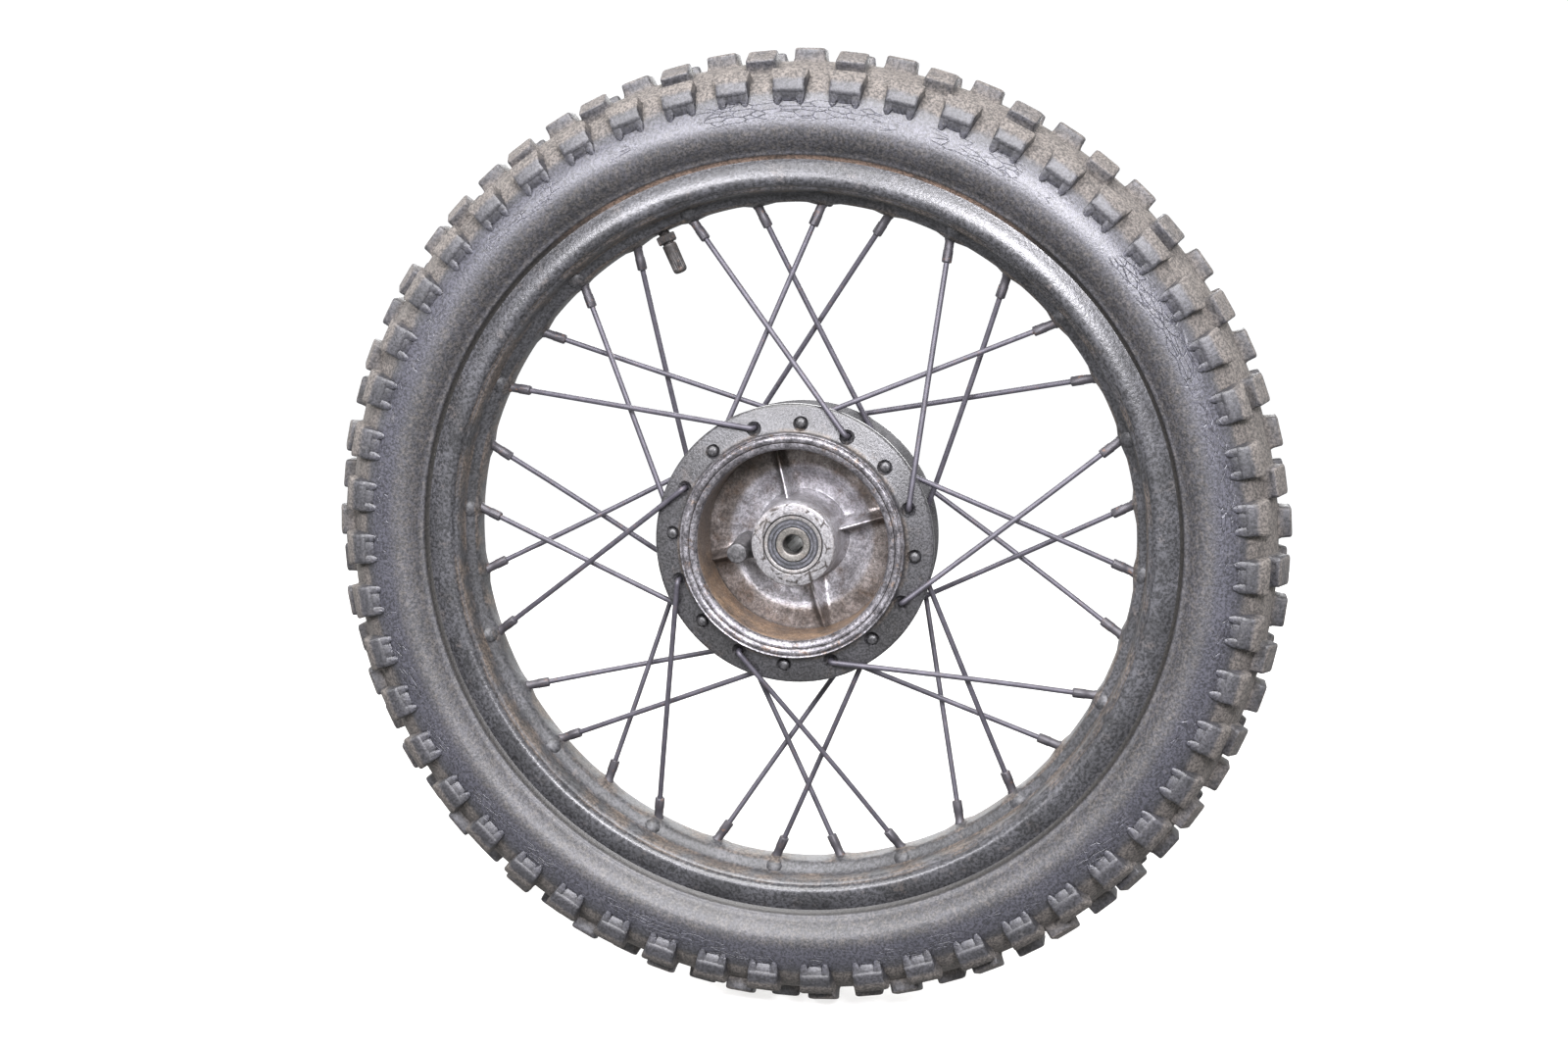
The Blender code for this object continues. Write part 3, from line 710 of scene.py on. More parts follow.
def carcass_half():
    """The tyre's outer half section from the crown to the bead, y positive."""
    floor = [crown(KNOB_HEIGHT, tilt) for tilt in np.linspace(0.0, 46.0, 8)]
    bulge = [(218.6, 31.0), (214.0, 32.8), (209.6, 33.7), (205.6, 33.8)]
    lower = [(201.5, 32.6), (197.8, 29.7), (194.9, 26.3)]
    wall = smooth_line([crown(KNOB_HEIGHT, 50.0), *bulge, *lower], 3)
    bead = [(193.9, 25.6), (193.3, 25.5), (192.8, 24.9), (192.5, 24.1), (191.9, 23.4)]
    in_rim = [(190.2, 21.6), (181.0, 20.0), (178.2, 18.9), (178.0, 12.8)]
    inside = [(187.0, 15.0), (205.0, 29.0), (222.0, 24.5)]
    return floor + wall + bead + in_rim + inside


def build_carcass():
    half = carcass_half()
    outline = np.array(half + [(CARCASS_INSIDE_R, 0.0)] + [(r, -y) for r, y in reversed(half[1:])])
    turn = np.linspace(0, math.tau, CARCASS_COLUMNS, endpoint=False)
    radius = np.repeat(outline[:, :1], CARCASS_COLUMNS, 1)
    y = np.repeat(outline[:, 1:], CARCASS_COLUMNS, 1)
    points = np.stack([radius * np.cos(turn), y, radius * np.sin(turn)], -1).reshape(-1, 3)
    faces = grid_faces(len(outline), CARCASS_COLUMNS, True, True)[:, ::-1].tolist()
    marks = {"dust_and_shade": np.clip((radius - 219.0) / 5.0, 0.0, 1.0)}
    tyre = make_piece("tyre_carcass", points, faces, ["rubber"], sharp=60.0, marks=marks)
    stand_for(tyre, WHEEL, "tyre", "tyre")


# (height, inset, dust-and-shade mark) of the rings that make one centre block
KNOB_RINGS = (
    (-0.9, -1.1, 1.0), (0.3, -0.75, 0.9), (1.4, -0.3, 0.7), (3.6, -0.05, 0.5),
    (5.4, 0.1, 0.45), (6.0, 0.4, 0.7), (6.3, 1.0, 0.85), (6.34, 2.3, 0.8),
)


def block_corners(count=4, corner=0.22):
    """A rounded unit square, as points from -1 to 1."""
    ring = []
    for quarter in range(4):
        for step in range(count):
            turn = math.pi / 2 * (quarter + step / (count - 1))
            middle = math.pi / 4 + math.pi / 2 * quarter
            cx = math.copysign(1 - corner, math.cos(middle))
            cy = math.copysign(1 - corner, math.sin(middle))
            ring.append((cx + corner * math.cos(turn), cy + corner * math.sin(turn)))
    return ring


def block_variation():
    """How one block differs from the rest: in height, in angle and in its dust-and-shade mark."""
    return RNG.normal(0, 0.012), RNG.normal(0, 0.06), RNG.normal(0, 0.08)


def tread_block(centre, tilts, variation):
    """One block standing on the crown, as points, faces and dust-and-shade marks."""
    taller, shifted, dustier = variation
    ring = block_corners()
    middle = (tilts[0] + tilts[1]) / 2
    half_tilt = (tilts[1] - tilts[0]) / 2
    half_mm = math.radians(CENTRE_HALF_ANGLE) * CENTRE_MID_R
    tilt_mm = math.radians(half_tilt) * CROWN_ARC_R
    points, marks = [], []
    for height, inset, dust_and_shade in KNOB_RINGS:
        height *= 1.0 + taller * (height > 3)
        for u, v in ring:
            angle = centre + shifted + CENTRE_HALF_ANGLE * (1 - inset / half_mm) * u
            tilt = middle + half_tilt * (1 - inset / tilt_mm) * v
            r, y = crown(KNOB_HEIGHT - height, tilt)
            points.append(polar(r, angle, y))
            marks.append(dust_and_shade + dustier)
    sides = len(ring)
    faces = grid_faces(len(KNOB_RINGS), sides, False, True).tolist()
    last = (len(KNOB_RINGS) - 1) * sides
    faces.append([last + i for i in range(sides)][::-1])
    return points, faces, marks


SHOULDER_MIDDLE = (226.0, 27.5)
SHOULDER_WIDTHS = (2.35, 2.3, 2.25, 2.2, 2.12, 2.0, 1.92, 1.9, 1.95, 2.0, 2.0, 2.1)
# dust on each row of a shoulder block; values below 0 paint shade on its outer wall
SHOULDER_DUST_AND_SHADE = (0.95, 0.85, 0.75, 0.95, 1.0, 0.9, 0.55, 0.15, 0.0, -0.1, 0.2, 0.5)
# (share of the width, inset) across a shoulder block
SHOULDER_STATIONS = ((-1.0, 0.75), (-0.93, 0.2), (-0.8, 0.0), (0.8, 0.0), (0.93, 0.2), (1.0, 0.75))
# (radius, y, degrees off the block's middle, half width in degrees) down a foot
FOOT_ROWS = (
    (223.8, 33.6, 1.38, 0.58), (219.8, 32.75, 1.42, 0.54),
    (217.5, 32.45, 1.46, 0.44), (216.3, 32.25, 1.48, 0.24),
)
WEB_ROWS = ((223.8, 33.2, 0.0, 1.2), (220.2, 32.8, 0.0, 1.05), (218.0, 31.4, 0.0, 0.8))
# (share of the half width, depth) across a foot
FOOT_SECTION = ((-1.0, 2.6), (-1.0, 0.4), (-0.6, 0.0), (0.6, 0.0), (1.0, 0.4), (1.0, 2.6))


def shoulder_section(inset):
    """The shoulder block's (radius, y) outline, drawn in by inset."""
    top = [(0.8, 42.4), (0.0, 43.6), (0.0, 48.0), (0.0, 51.2), (0.5, 52.8)]
    outline = [crown(KNOB_HEIGHT + 1.0, 38.2), crown(KNOB_HEIGHT - 0.4, 40.2)]
    outline += [crown(height, tilt) for height, tilt in top]
    outline += [(226.6, 33.35), (224.0, 33.75), (222.4, 33.7), (221.2, 32.2), (219.6, 27.0)]
    middle = np.array(SHOULDER_MIDDLE)
    made = []
    for place in outline:
        away = np.array(place) - middle
        made.append(tuple(middle + away * (1 - inset / np.linalg.norm(away))))
    return made


def faced(faces, side):
    """Faces turned over on the near side, where y is mirrored."""
    return faces if side > 0 else [face[::-1] for face in faces]


def shoulder_foot(centre, side, lean, rows):
    """A foot of a shoulder block on the sidewall, as points, faces and marks of painted shade."""
    points, marks = [], []
    for r, y, out, half in rows:
        for u, depth in FOOT_SECTION:
            points.append(polar(r, centre + lean * out + u * half, side * (y - depth)))
            # painted shade: negative marks darken the feet, most near the block
            marks.append(-0.35 if r > 220 else -0.15)
    return points, faced(capped_grid(len(rows), len(FOOT_SECTION)), side), marks


def shoulder_block(centre, side, variation):
    """One shoulder block with its feet, as points, faces and dust-and-shade marks."""
    taller, shifted, dustier = variation
    points, marks = [], []
    for share, inset in SHOULDER_STATIONS:
        for (r, y), width, dust_and_shade in zip(shoulder_section(inset), SHOULDER_WIDTHS, SHOULDER_DUST_AND_SHADE):
            angle = centre + shifted + share * width
            points.append(polar(r + taller * (r > SHOULDER_TOP_R), angle, side * y))
            marks.append(dust_and_shade + dustier)
    faces = faced(capped_grid(len(SHOULDER_STATIONS), len(SHOULDER_WIDTHS)), side)
    blocks = [(points, faces, marks)]
    for lean, rows in ((-1, FOOT_ROWS), (0, WEB_ROWS), (1, FOOT_ROWS)):
        blocks.append(shoulder_foot(centre + shifted, side, lean, rows))
    return joined_blocks(blocks)


def joined_blocks(blocks):
    """One list of points, faces and dust-and-shade marks from several."""
    points, faces = joined([(points, faces) for points, faces, _ in blocks])
    return points, faces, np.concatenate([marks for _, _, marks in blocks])


def build_knobs():
    pitch = 360.0 / CENTRE_PAIRS
    centre, shoulder = [], []
    for i in range(CENTRE_PAIRS):
        pair = PAIR_PHASE + pitch * i
        for tilts in PAIR_TILTS:
            centre.append(tread_block(pair, tilts, block_variation()))
        centre.append(tread_block(pair + pitch / 2, MIDDLE_TILTS, block_variation()))
    for i in range(SHOULDER_KNOBS):
        angle = SHOULDER_PHASE + 360.0 / SHOULDER_KNOBS * i
        for side in (-1, 1):
            shoulder.append(shoulder_block(angle, side, block_variation()))
    for name, blocks in (("tyre_centre_knobs", centre), ("tyre_shoulder_knobs", shoulder)):
        points, faces, dust_and_shade = joined_blocks(blocks)
        marks = {"dust_and_shade": dust_and_shade}
        add_shell(name, (points, faces), ["rubber"], "tyre", sharp=50.0, marks=marks)


# ---- rim


def lacing():
    """(flange, elbow side, hub angle, rim angle) of the 32 spokes, in order."""
    families = [
        (NEAR_FLANGE, -1, 0.0, 1),
        (FAR_FLANGE, -1, -11.25, 1),
        (NEAR_FLANGE, 1, -22.5, -1),
        (FAR_FLANGE, 1, -33.75, -1),
    ]
    found = []
    for turn in range(8):
        for flange, elbow, shift, lean in families:
            rim_angle = LACING_PHASE + shift - 45.0 * turn
            found.append((flange, elbow, rim_angle - lean * CROSS_ANGLE, rim_angle))
    return found


def nipple_y(flange):
    return -NIPPLE_OFFSET if flange is NEAR_FLANGE else NIPPLE_OFFSET


def rim_outline():
    well = [(WELL_R, 0.0), (WELL_R, 2.4), (WELL_R + 0.05, 4.8), (170.6, 6.3), (171.8, 7.7)]
    well += [(173.6, 9.1), (174.9, 10.3), (175.5, 11.8)]
    band = [(175.65, 14.0), (175.75, 17.5), (175.95, 19.5), (176.6, 20.7), (177.4, 21.15)]
    roll = [(177.75, 21.6), (177.9, 22.2), (178.35, 23.1), (179.1, 24.0), (180.1, 24.65)]
    flange = [(181.3, 24.9), (182.8, 24.8), (184.5, 24.48), (186.3, 23.95), (188.1, 23.25)]
    flange += [(189.8, 22.5), (191.0, 22.1)]
    hidden = [(190.6, 21.6), (186.0, 21.2), (177.5, 20.3), (177.5, 12.6), (171.5, 6.4)]
    half = well + band + roll + flange + hidden
    return half + [(r, -y) for r, y in reversed(half[1:])]


def dimpled(radius, y, turns):
    """Presses the rim's well inwards at each nipple."""
    for flange, _, _, rim_angle in lacing():
        around = np.angle(np.exp(1j * (turns - math.radians(rim_angle)))) * WELL_R
        away = np.hypot(around, y - nipple_y(flange))
        bump = np.clip(1.3 - away / DIMPLE_R, 0.0, 1.0)
        bump = bump * bump * (3 - 2 * bump)
        radius = radius - DIMPLE_HEIGHT * bump * (radius < WELL_END_R)
    return radius, y


def build_rim():
    rim = turned("rim_shell", rim_outline(), 256, ["rim"], sharp=50.0, shift=dimpled)
    stand_for(rim, WHEEL, "rim", "rim")
    bumps = []
    for flange, _, _, rim_angle in lacing():
        side = -1 if flange is NEAR_FLANGE else 1
        out = polar(-math.cos(SEAT_BUMP_TILT), rim_angle, side * math.sin(SEAT_BUMP_TILT))
        start = polar(SEAT_BUMP[0], rim_angle, side * SEAT_BUMP[1])
        bumps.append(pin(start, out, SEAT_BUMP_DOME))
    add_shell("rim_seat_bumps", joined(bumps), ["rim"], "rim", sharp=70.0)
    start = polar(WELL_R + 1.0, WELD_NUB_ANGLE, 0.5)
    inward = polar(-1.0, WELD_NUB_ANGLE, 0.0)
    add_shell("rim_weld_nub", pin(start, inward, WELD_NUB_DOME), ["nipple"], "rim")


# ---- spokes

WIRE_SIDES = 8
HEAD_DOME = (
    (-1.35, 0.5), (-1.28, 1.3), (-0.98, 2.1), (-0.45, 2.65),
    (0.15, 2.75), (0.5, 2.6), (0.9, SPOKE_R),
)
NIPPLE_BARREL = (
    (-11.4, 1.8), (-11.3, 2.2), (-10.9, 2.4), (-5.3, 2.4),
    (-4.9, 2.35), (-0.9, 2.35), (-0.2, 2.7), (3.5, 3.0),
)
NIPPLE_SQUARENESS = (0.0, 0.1, 0.5, 0.5, 0.1, 0.0, 0.0, 0.0)


def bend(before, corner, after, steps=6):
    """Points of a smooth bend that cuts a corner."""
    places = []
    for step in range(steps + 1):
        t = step / steps
        places.append(before * (1 - t) ** 2 + corner * 2 * t * (1 - t) + after * t * t)
    return places


def build_spoke(number, spoke):
    """A wire from its head through the flange and the elbow, and its nipple."""
    flange, elbow, hub_angle, rim_angle = spoke
    face, head_face = flange[::-1] if elbow > 0 else flange
    outward = face in (NEAR_FLANGE[0], FAR_FLANGE[1])
    rise = SPOKE_R + ELBOW_GAP + (OUTER_ELBOW_RISE if outward else 0.0)
    corner = polar(SPOKE_CIRCLE_R, hub_angle, face + elbow * rise)
    seat = polar(SEAT_R, rim_angle, nipple_y(flange))
    along = (seat - corner).normalized()
    up = Vector((0.0, elbow, 0.0))
    head = polar(SPOKE_CIRCLE_R, hub_angle, head_face)
    sunk = 0.0 if outward else HEAD_SUNK
    stations = [(head + up * (d + sunk), r) for d, r in HEAD_DOME]
    after = corner + along * SPOKE_BEND
    stations += [(place, SPOKE_R) for place in bend(corner - up * SPOKE_BEND, corner, after)]
    sideways = along.cross(up).normalized()
    bow = RNG.normal(0, SPOKE_BOW)
    for share in (0.15, 0.3, 0.45, 0.6, 0.75):
        sway = sideways * bow * math.sin(math.pi * share)
        stations.append((after.lerp(seat, share) + sway, SPOKE_R))
    stations.append((seat - along * (NIPPLE_LENGTH - 2.0), SPOKE_R))
    wire = tube(stations, WIRE_SIDES)
    painted = np.arange(len(wire[1])) < WIRE_SIDES * (len(HEAD_DOME) - 2)
    painted[-2] = True
    name = f"spoke_{number:02d}"
    looks = ["spoke", "hub"]
    add_shell(f"{name}_wire", wire, looks, "spoke", name, face_looks=painted, sharp=50.0)
    nipple = pin(seat, along, NIPPLE_BARREL, squareness=NIPPLE_SQUARENESS)
    add_shell(f"{name}_nipple", nipple, ["nipple"], "spoke", sharp=35.0)


# ---- hub


def floor_y(radius):
    """The drum floor's y at a radius: a bowl round the boss, then a flat."""
    places = (20.0, 22.8, 24.5, 27.0, 30.0, 32.6, 34.6, 36.2, 37.6, 39.0, 41.0, 44.0, 47.0, 53.0)
    depths = (12.4, 12.2, 12.5, 12.3, 11.3, 9.9, 8.65, 7.8, 7.25, 6.95, 6.85, 6.95, 7.15, 7.3)
    return float(np.interp(radius, places, depths))


def rib_columns():
    """The floor's columns, as (rib angle, mm off the rib, share of the way to the next)."""
    near = (0.0, 0.5, 1.0, 1.4, 1.9, 2.5, 3.2, 4.2, 5.4)
    columns = []
    for angle in RIB_ANGLES:
        columns += [(angle, d, 0.0) for d in near]
        columns += [(angle, near[-1], share) for share in np.linspace(0, 1, 20)[1:-1]]
        columns += [(angle + 90.0, -d, 0.0) for d in reversed(near[1:])]
    return columns


def column_angle(column, radius):
    """The angle at which a column of the floor stands at this radius."""
    angle, offset, share = column
    lean = math.degrees(math.asin(offset / radius))
    return angle + lean + share * (90.0 - 2 * lean)


def floor_point(column, radius):
    """A point of the floor's top: the ground between ribs, up to the crest on one."""
    _, offset, share = column
    ground = floor_y(radius)
    y = ground
    if share == 0.0:
        crest = np.interp(radius, (21.0, 24.0, 34.0, 47.5, 49.0), (-4.0, -2.6, -0.6, 2.4, 3.0))
        away = abs(offset)
        slope = np.clip((away - RIB_HALF_TOP) / RIB_FLANK, 0.0, 1.0)
        y = crest + (ground - crest) * (1.0 - (1.0 - slope) ** 2.5)
        y = min(y - 0.3 * max(RIB_HALF_TOP - away, 0.0), ground)
    return polar(radius, column_angle(column, radius), y)


def build_drum_floor():
    """The floor inside the drum, with four tapered ribs, as one closed slab."""
    stretches = [np.linspace(20.6, 35.0, 15), np.linspace(35.6, 39.0, 7)]
    stretches.append(np.linspace(40.5, 52.2, 8))
    columns = rib_columns()
    rows = [[floor_point(column, r) for column in columns] for r in np.concatenate(stretches)]
    for r in (52.2, 36.5, 27.0, 20.6):
        back = floor_y(r) + FLOOR_THICKNESS
        rows.append([polar(r, column_angle(column, r), back) for column in columns])
    points = [p for row in rows for p in row]
    faces = grid_faces(len(rows), len(columns), True, True).tolist()
    add_shell("hub_drum_floor", (points, faces), ["cast"], "hub", sharp=70.0)


def build_date_peg():
    profile = [(0.0, 4.5), (0.25, 5.0), (0.9, 5.3), (12.0, 5.6), (22.0, 6.0)]
    profile += [(25.0, 6.8), (28.0, 8.0)]
    peg = pin(polar(*DATE_PEG), Vector((0.0, 1.0, 0.0)), profile, 28)
    add_shell("hub_date_peg", peg, ["peg"], "hub", sharp=60.0)


def hub_outline():
    """The hub's closed section: lip, near flange, barrel, far side, bore and boss."""
    lip = [(52.35, 9.2), (52.35, -25.8), (52.8, -26.4), (53.6, -26.85), (54.6, -26.95)]
    lip += [(55.2, -26.7), (55.55, -26.1), (55.85, -26.05), (56.15, -26.45), (56.6, -26.6)]
    lip += [(57.0, -26.3), (57.2, -25.6), (57.3, -23.6)]
    near = [(57.7, -22.8), (58.6, -22.35), (61.0, -21.75), (69.4, -19.75), (70.5, -19.45)]
    near += [(71.0, -18.8), (71.05, -16.2), (70.8, -15.6), (70.2, -15.35), (60.0, -15.35)]
    barrel = [(58.6, -15.0), (57.9, -13.9), (57.6, 9.0), (57.7, 15.6), (58.1, 17.0)]
    far = [(59.4, 17.6), (68.8, 17.6), (69.35, 17.9), (69.5, 18.5), (69.45, 20.4)]
    far += [(69.1, 21.1), (68.3, 21.4), (56.0, 24.4), (54.3, 24.6), (53.4, 23.9)]
    dish = [(50.2, 15.2), (49.2, 13.7), (47.4, 12.9), (43.5, 12.5), (38.8, 12.9)]
    dish += [(35.5, 14.5), (31.0, 17.0), (26.0, 18.7), (23.4, 19.6), (22.4, 21.2)]
    far_boss = [(21.3, 36.6), (21.0, 37.6), (20.3, 38.15), (16.1, 38.2), (15.3, 37.8)]
    bore = [(15.3, 23.4), (12.6, 23.4), (12.6, -10.7), (15.15, -10.7), (15.15, -20.0)]
    boss = [(15.6, -20.55), (19.9, -20.6), (20.9, -20.3), (21.35, -19.6), (21.8, -10.0)]
    bowl = [(22.3, 4.0), (22.9, 9.6), (24.2, 12.4), (26.0, 13.1), (30.0, 12.0), (36.8, 8.2)]
    return lip + near + barrel + far + dish + far_boss + bore + boss + bowl + [(52.35, 8.4)]


def hub_look(r, y):
    """Which of the hub's looks a strip of its outline has."""
    look = "hub"
    if y < -9.5 and 51 < r < 57.25 and not (r > 57.2 and y > -24.5):
        look = "lip"
    elif r < 21.3 and y < -20.1:
        look = "boss"
    elif r < 52.4 and y < 13.6:
        look = "cast"
    return HUB_LOOKS.index(look)


def spoke_holes(looks):
    """Countersunk pins where the spokes' heads go through both flanges."""
    pins = []
    for side, face, outward in ((NEAR_FLANGE, NEAR_FLANGE[0], -1), (FAR_FLANGE, FAR_FLANGE[1], 1)):
        for hub_angle in (hub_angle for flange, _, hub_angle, _ in lacing() if flange is side):
            places = [polar(SPOKE_CIRCLE_R, hub_angle, face + outward * d) for d, _ in HOLE_PROFILE]
            pins.append(tube([(p, r) for p, (_, r) in zip(places, HOLE_PROFILE)], 20))
    holes = make_piece("spoke_holes", *joined(pins), looks)
    fix_normals(holes)
    return holes


def build_hub_shell():
    outline = hub_outline()
    hub = turned("hub_body", outline, HUB_COLUMNS, HUB_LOOKS, sharp=HUB_SHARP, look_of=hub_look)
    fix_normals(hub)
    cutter = spoke_holes(HUB_LOOKS)
    modifier = hub.modifiers.new("spoke_holes", "BOOLEAN")
    modifier.operation = "DIFFERENCE"
    modifier.solver = "EXACT"
    modifier.object = cutter
    bake_modifiers(hub)
    bpy.data.objects.remove(cutter)
    hub.data.shade_smooth()
    hub.data.set_sharp_from_angle(angle=math.radians(HUB_SHARP))
    stand_for(hub, WHEEL, "hub", "hub_shell")


def bake_modifiers(obj):
    graph = bpy.context.evaluated_depsgraph_get()
    made = bpy.data.meshes.new_from_object(obj.evaluated_get(graph))
    obj.modifiers.clear()
    obj.data = made


def build_liner():
    """The drum's cast-iron ring, worn in shallow grooves, with a bare near lip."""
    face = [(LINER_R + 0.05 * ((i * 7) % 3), y) for i, y in enumerate(np.linspace(5.6, -21.6, 18))]
    outline = [(52.1, 6.9), (48.9, 6.9), (48.5, 6.5)] + face + [(48.6, LINER_LIP_Y)]
    outline += [(48.9, -24.1), (49.5, -25.0), (50.4, -25.65), (51.4, -25.95), (52.1, -25.9)]
    add_ring(
        "brake_drum_ring", outline, ["rust", "lip"], WHEEL, "liner", "brake_drum_liner",
        HUB_COLUMNS, look_of=lambda r, y: int(y < LINER_LIP_Y),
    )


# ---- bearings

OUTER_RACE = (
    (14.95, 3.9), (14.6, 4.4), (13.5, 4.5), (13.1, 4.35),
    (13.0, 3.6), (12.2, 3.5), (12.1, 2.4), (12.75, 1.3),
)
INNER_RACE = ((8.75, 1.3), (8.6, 2.2), (8.7, 4.1), (8.3, 4.45), (6.0, 4.5), (5.4, 4.3), (5.02, 3.9))
BEARING_SEAL = (
    (8.95, 3.6), (9.0, 4.1), (9.2, 4.35), (10.2, 4.35), (10.4, 3.8),
    (10.8, 3.8), (11.0, 4.2), (12.2, 4.2), (12.45, 3.7), (12.95, 3.6),
)
DUST_SEAL = (
    (8.6, 33.4), (14.9, 33.4), (14.9, 36.6), (14.5, 37.2), (13.4, 37.35),
    (12.6, 36.7), (10.6, 36.6), (9.6, 37.2), (8.7, 37.0),
)
COLLAR = (
    (5.1, 33.0), (8.0, 33.0), (8.0, 38.4), (8.4, 38.8), (11.5, 38.8),
    (12.0, 39.3), (12.0, 41.5), (11.5, 42.0), (5.6, 42.0), (5.1, 41.5),
)


def both_sides(outline, y):
    """A half section mirrored about this y, as one closed outline."""
    half = [(r, y + along) for r, along in outline]
    return half + [(r, y - along) for r, along in reversed(outline)]


def build_bearing(prefix, y):
    add_ring(
        f"{prefix}_outer_ring", both_sides(OUTER_RACE, y), ["race"],
        WHEEL, "bearing", f"{prefix}_outer_race", sharp=30.0,
    )
    add_ring(
        f"{prefix}_inner_ring", both_sides(INNER_RACE, y), ["tan", "valve"],
        AXLE, "bearing", f"{prefix}_inner_race", sharp=30.0,
        # painted shade: the bore faces take the dark valve finish
        look_of=lambda r, _: int(r < BORE_SHADE_R),
    )
    for side, place, node in ((-1, "front", "seal_minus_y"), (1, "back", "seal_plus_y")):
        outline = [(r, y + side * along) for r, along in BEARING_SEAL]
        name = f"{prefix}_seal_{place}"
        add_ring(name, outline, ["seal"], WHEEL, "seal", f"{prefix}_{node}", sharp=30.0)


def build_far_side():
    add_ring("far_dust_seal", DUST_SEAL, ["seal"], WHEEL, "seal", "dust_seal", sharp=35.0)
    add_ring("far_axle_collar", COLLAR, ["race"], AXLE, "turned_steel", "axle_collar", sharp=35.0)


# ---- valve

VALVE_NUT = ((10.9, 4.9), (11.3, 5.6), (14.6, 5.6), (15.1, 4.9))
VALVE_CAP = (
    (15.9, 3.3), (16.1, 3.65), (16.8, 3.75), (17.2, 3.7), (29.0, 3.6),
    (29.6, 3.6), (30.5, 3.35), (31.2, 2.7), (31.5, 1.4),
)
CAP_SIDES = 40
CAP_FLUTED_ROWS = range(3, 6)
CAP_FLUTE = 0.9


def build_valve():
    inward = polar(-1.0, VALVE_ANGLE, 0.0)
    start = polar(VALVE_START_R, VALVE_ANGLE, 0.0)
    thread = [(8.0 + 0.35 * i, 2.75 + 0.25 * (i % 2)) for i in range(22)]
    stem = [(0.0, 3.8), (1.6, 3.9), (2.2, 3.0)] + thread + [(15.9, 2.9), (16.4, 2.4)]
    stem = pin(start, inward, stem, 16)
    add_shell("valve_thread", stem, ["valve"], "valve", "valve_stem", sharp=30.0)
    nut = pin(start, inward, VALVE_NUT, 6)
    add_shell("valve_hex_nut", nut, ["valve"], "valve", "valve_nut", sharp=20.0)
    points, faces = pin(start, inward, VALVE_CAP, CAP_SIDES)
    for row in CAP_FLUTED_ROWS:
        axis = start + inward * VALVE_CAP[row][0]
        for index in range(row * CAP_SIDES, (row + 1) * CAP_SIDES, 2):
            points[index] = axis + (points[index] - axis) * CAP_FLUTE
    add_shell("valve_dust_cap", (points, faces), ["valve"], "valve_cap", "valve_cap", sharp=50.0)


# ---- stage

# (name, place, target, size, power, colour)
LIGHTS = (
    ("key", (0.36, -1.0, 0.55), UPPER_WHEEL, (0.3, 0.26), 29.5, COOL_WHITE),
    ("fill", (-0.42, -1.0, 0.55), UPPER_WHEEL, (0.45, 0.24), 20.5, COOL_WHITE),
    ("ceiling", (0.0, -0.6, 1.3), CENTRE, (1.1, 0.7), 48.0, WARM_WHITE),
    ("back", (-0.2, 1.5, 0.5), CENTRE, (1.4, 1.0), 30.0, WHITE),
    ("side_-1", (-1.5, 0.25, 0.6), CENTRE, (0.8, 0.8), 16.0, WHITE),
    ("side_1", (1.5, 0.25, 0.6), CENTRE, (0.8, 0.8), 16.0, WHITE),
)


def build_camera():
    turn = Matrix.Rotation(CAMERA_YAW, 3, "Z") @ Matrix.Rotation(CAMERA_PITCH, 3, "X")
    forward = turn @ Vector((0.0, 1.0, 0.0))
    data = bpy.data.cameras.new("camera")
    data.lens = CAMERA_LENS
    data.sensor_width = CAMERA_SENSOR
    camera = bpy.data.objects.new("camera", data)
    camera.location = CAMERA_TARGET - forward * CAMERA_DISTANCE
    camera.rotation_euler = forward.to_track_quat("-Z", "Y").to_euler()
    bpy.context.scene.collection.objects.link(camera)
    bpy.context.scene.camera = camera


def slab(name, low, high, look):
    """A box of the stage between two corners."""
    bm = bmesh.new()
    bmesh.ops.create_cube(bm, size=1.0)
    size = Vector(high) - Vector(low)
    middle = (Vector(high) + Vector(low)) / 2
    bmesh.ops.scale(bm, vec=size, verts=bm.verts[:])
    bmesh.ops.translate(bm, vec=middle, verts=bm.verts[:])
    mesh = bpy.data.meshes.new(name)
    bm.to_mesh(mesh)
    bm.free()
    mesh.materials.append(look)
    obj = bpy.data.objects.new(name, mesh)
    bpy.context.scene.collection.objects.link(obj)
    return obj


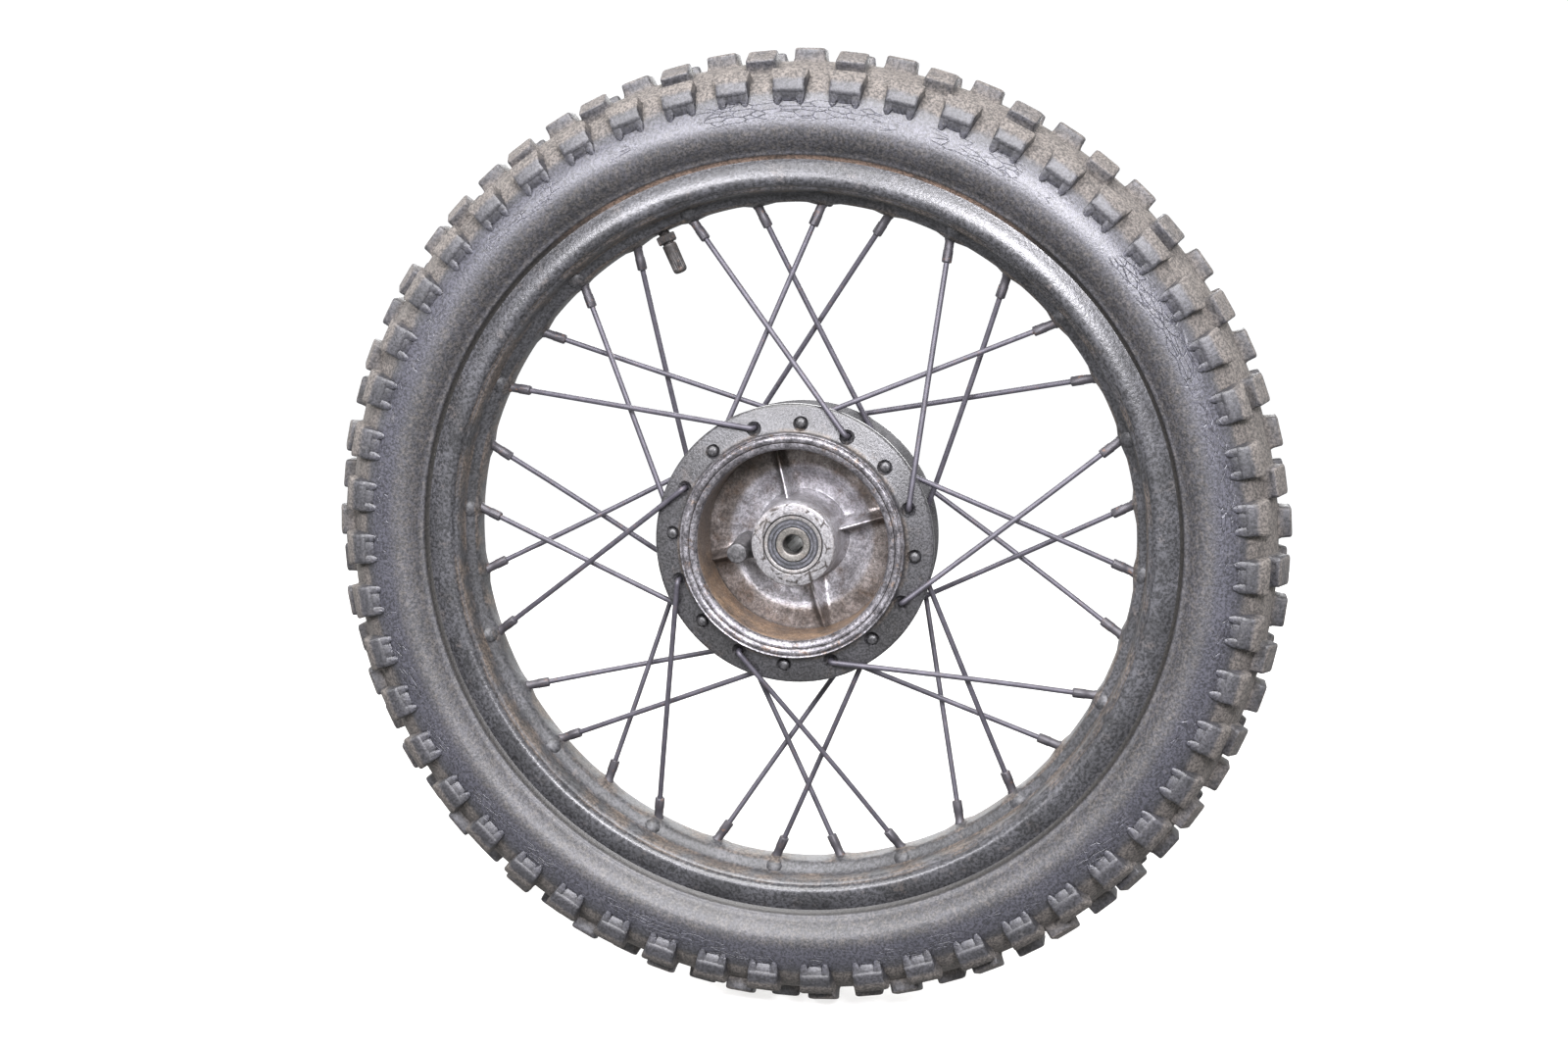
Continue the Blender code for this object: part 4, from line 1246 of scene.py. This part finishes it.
def area_light(name, place, target, size, power, colour):
    data = bpy.data.lights.new(name, "AREA")
    data.shape = "RECTANGLE"
    data.size, data.size_y = size
    data.energy = power
    data.color = colour
    obj = bpy.data.objects.new(name, data)
    obj.location = place
    obj.rotation_euler = (Vector(target) - Vector(place)).to_track_quat("-Z", "Y").to_euler()
    bpy.context.scene.collection.objects.link(obj)


def build_world():
    """Even surroundings, a little brighter to the camera than they are as light."""
    world = bpy.data.worlds.new("studio")
    world.use_nodes = True
    tree = world.node_tree
    background = tree.nodes["Background"]
    background.inputs["Color"].default_value = WORLD_COLOUR
    strength = tree.nodes.new("ShaderNodeMix")
    strength.inputs[2].default_value = WORLD_AS_LIGHT
    strength.inputs[3].default_value = WORLD_TO_CAMERA
    rays = tree.nodes.new("ShaderNodeLightPath")
    tree.links.new(rays.outputs["Is Camera Ray"], strength.inputs[0])
    tree.links.new(strength.outputs[0], background.inputs["Strength"])
    bpy.context.scene.world = world


def build_stage():
    floor_low = (-1.7, -1.7, FLOOR_Z - FLOOR_DEPTH)
    floor = slab("floor", floor_low, (1.7, 1.3, FLOOR_Z), floor_look())
    floor.visible_diffuse = floor.visible_glossy = False
    for light in LIGHTS:
        area_light(*light)
    build_world()
    bpy.context.scene.view_settings.view_transform = "Standard"


def dress_hidden_nodes():
    """Better materials for the CAD nodes that stay, inside the tyre and hub."""
    # the bearing spacer, seen down the bore, takes the near-black bore look as painted shade
    inner = {"inner_tube": "tube", "rim_band": "tube", "bearing_spacer": "bore"}
    inner.update({f"{prefix}_ball_cage": "race" for prefix in BEARING_YS})
    for node, look in inner.items():
        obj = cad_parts[node]
        obj.data.materials.clear()
        obj.data.materials.append(LOOKS[look])


build_camera()
build_carcass()
build_knobs()
build_rim()
for number, spoke in enumerate(lacing(), 1):
    build_spoke(number, spoke)
build_drum_floor()
build_date_peg()
build_hub_shell()
build_liner()
for prefix, y in BEARING_YS.items():
    build_bearing(prefix, y)
build_far_side()
build_valve()
dress_hidden_nodes()
build_stage()
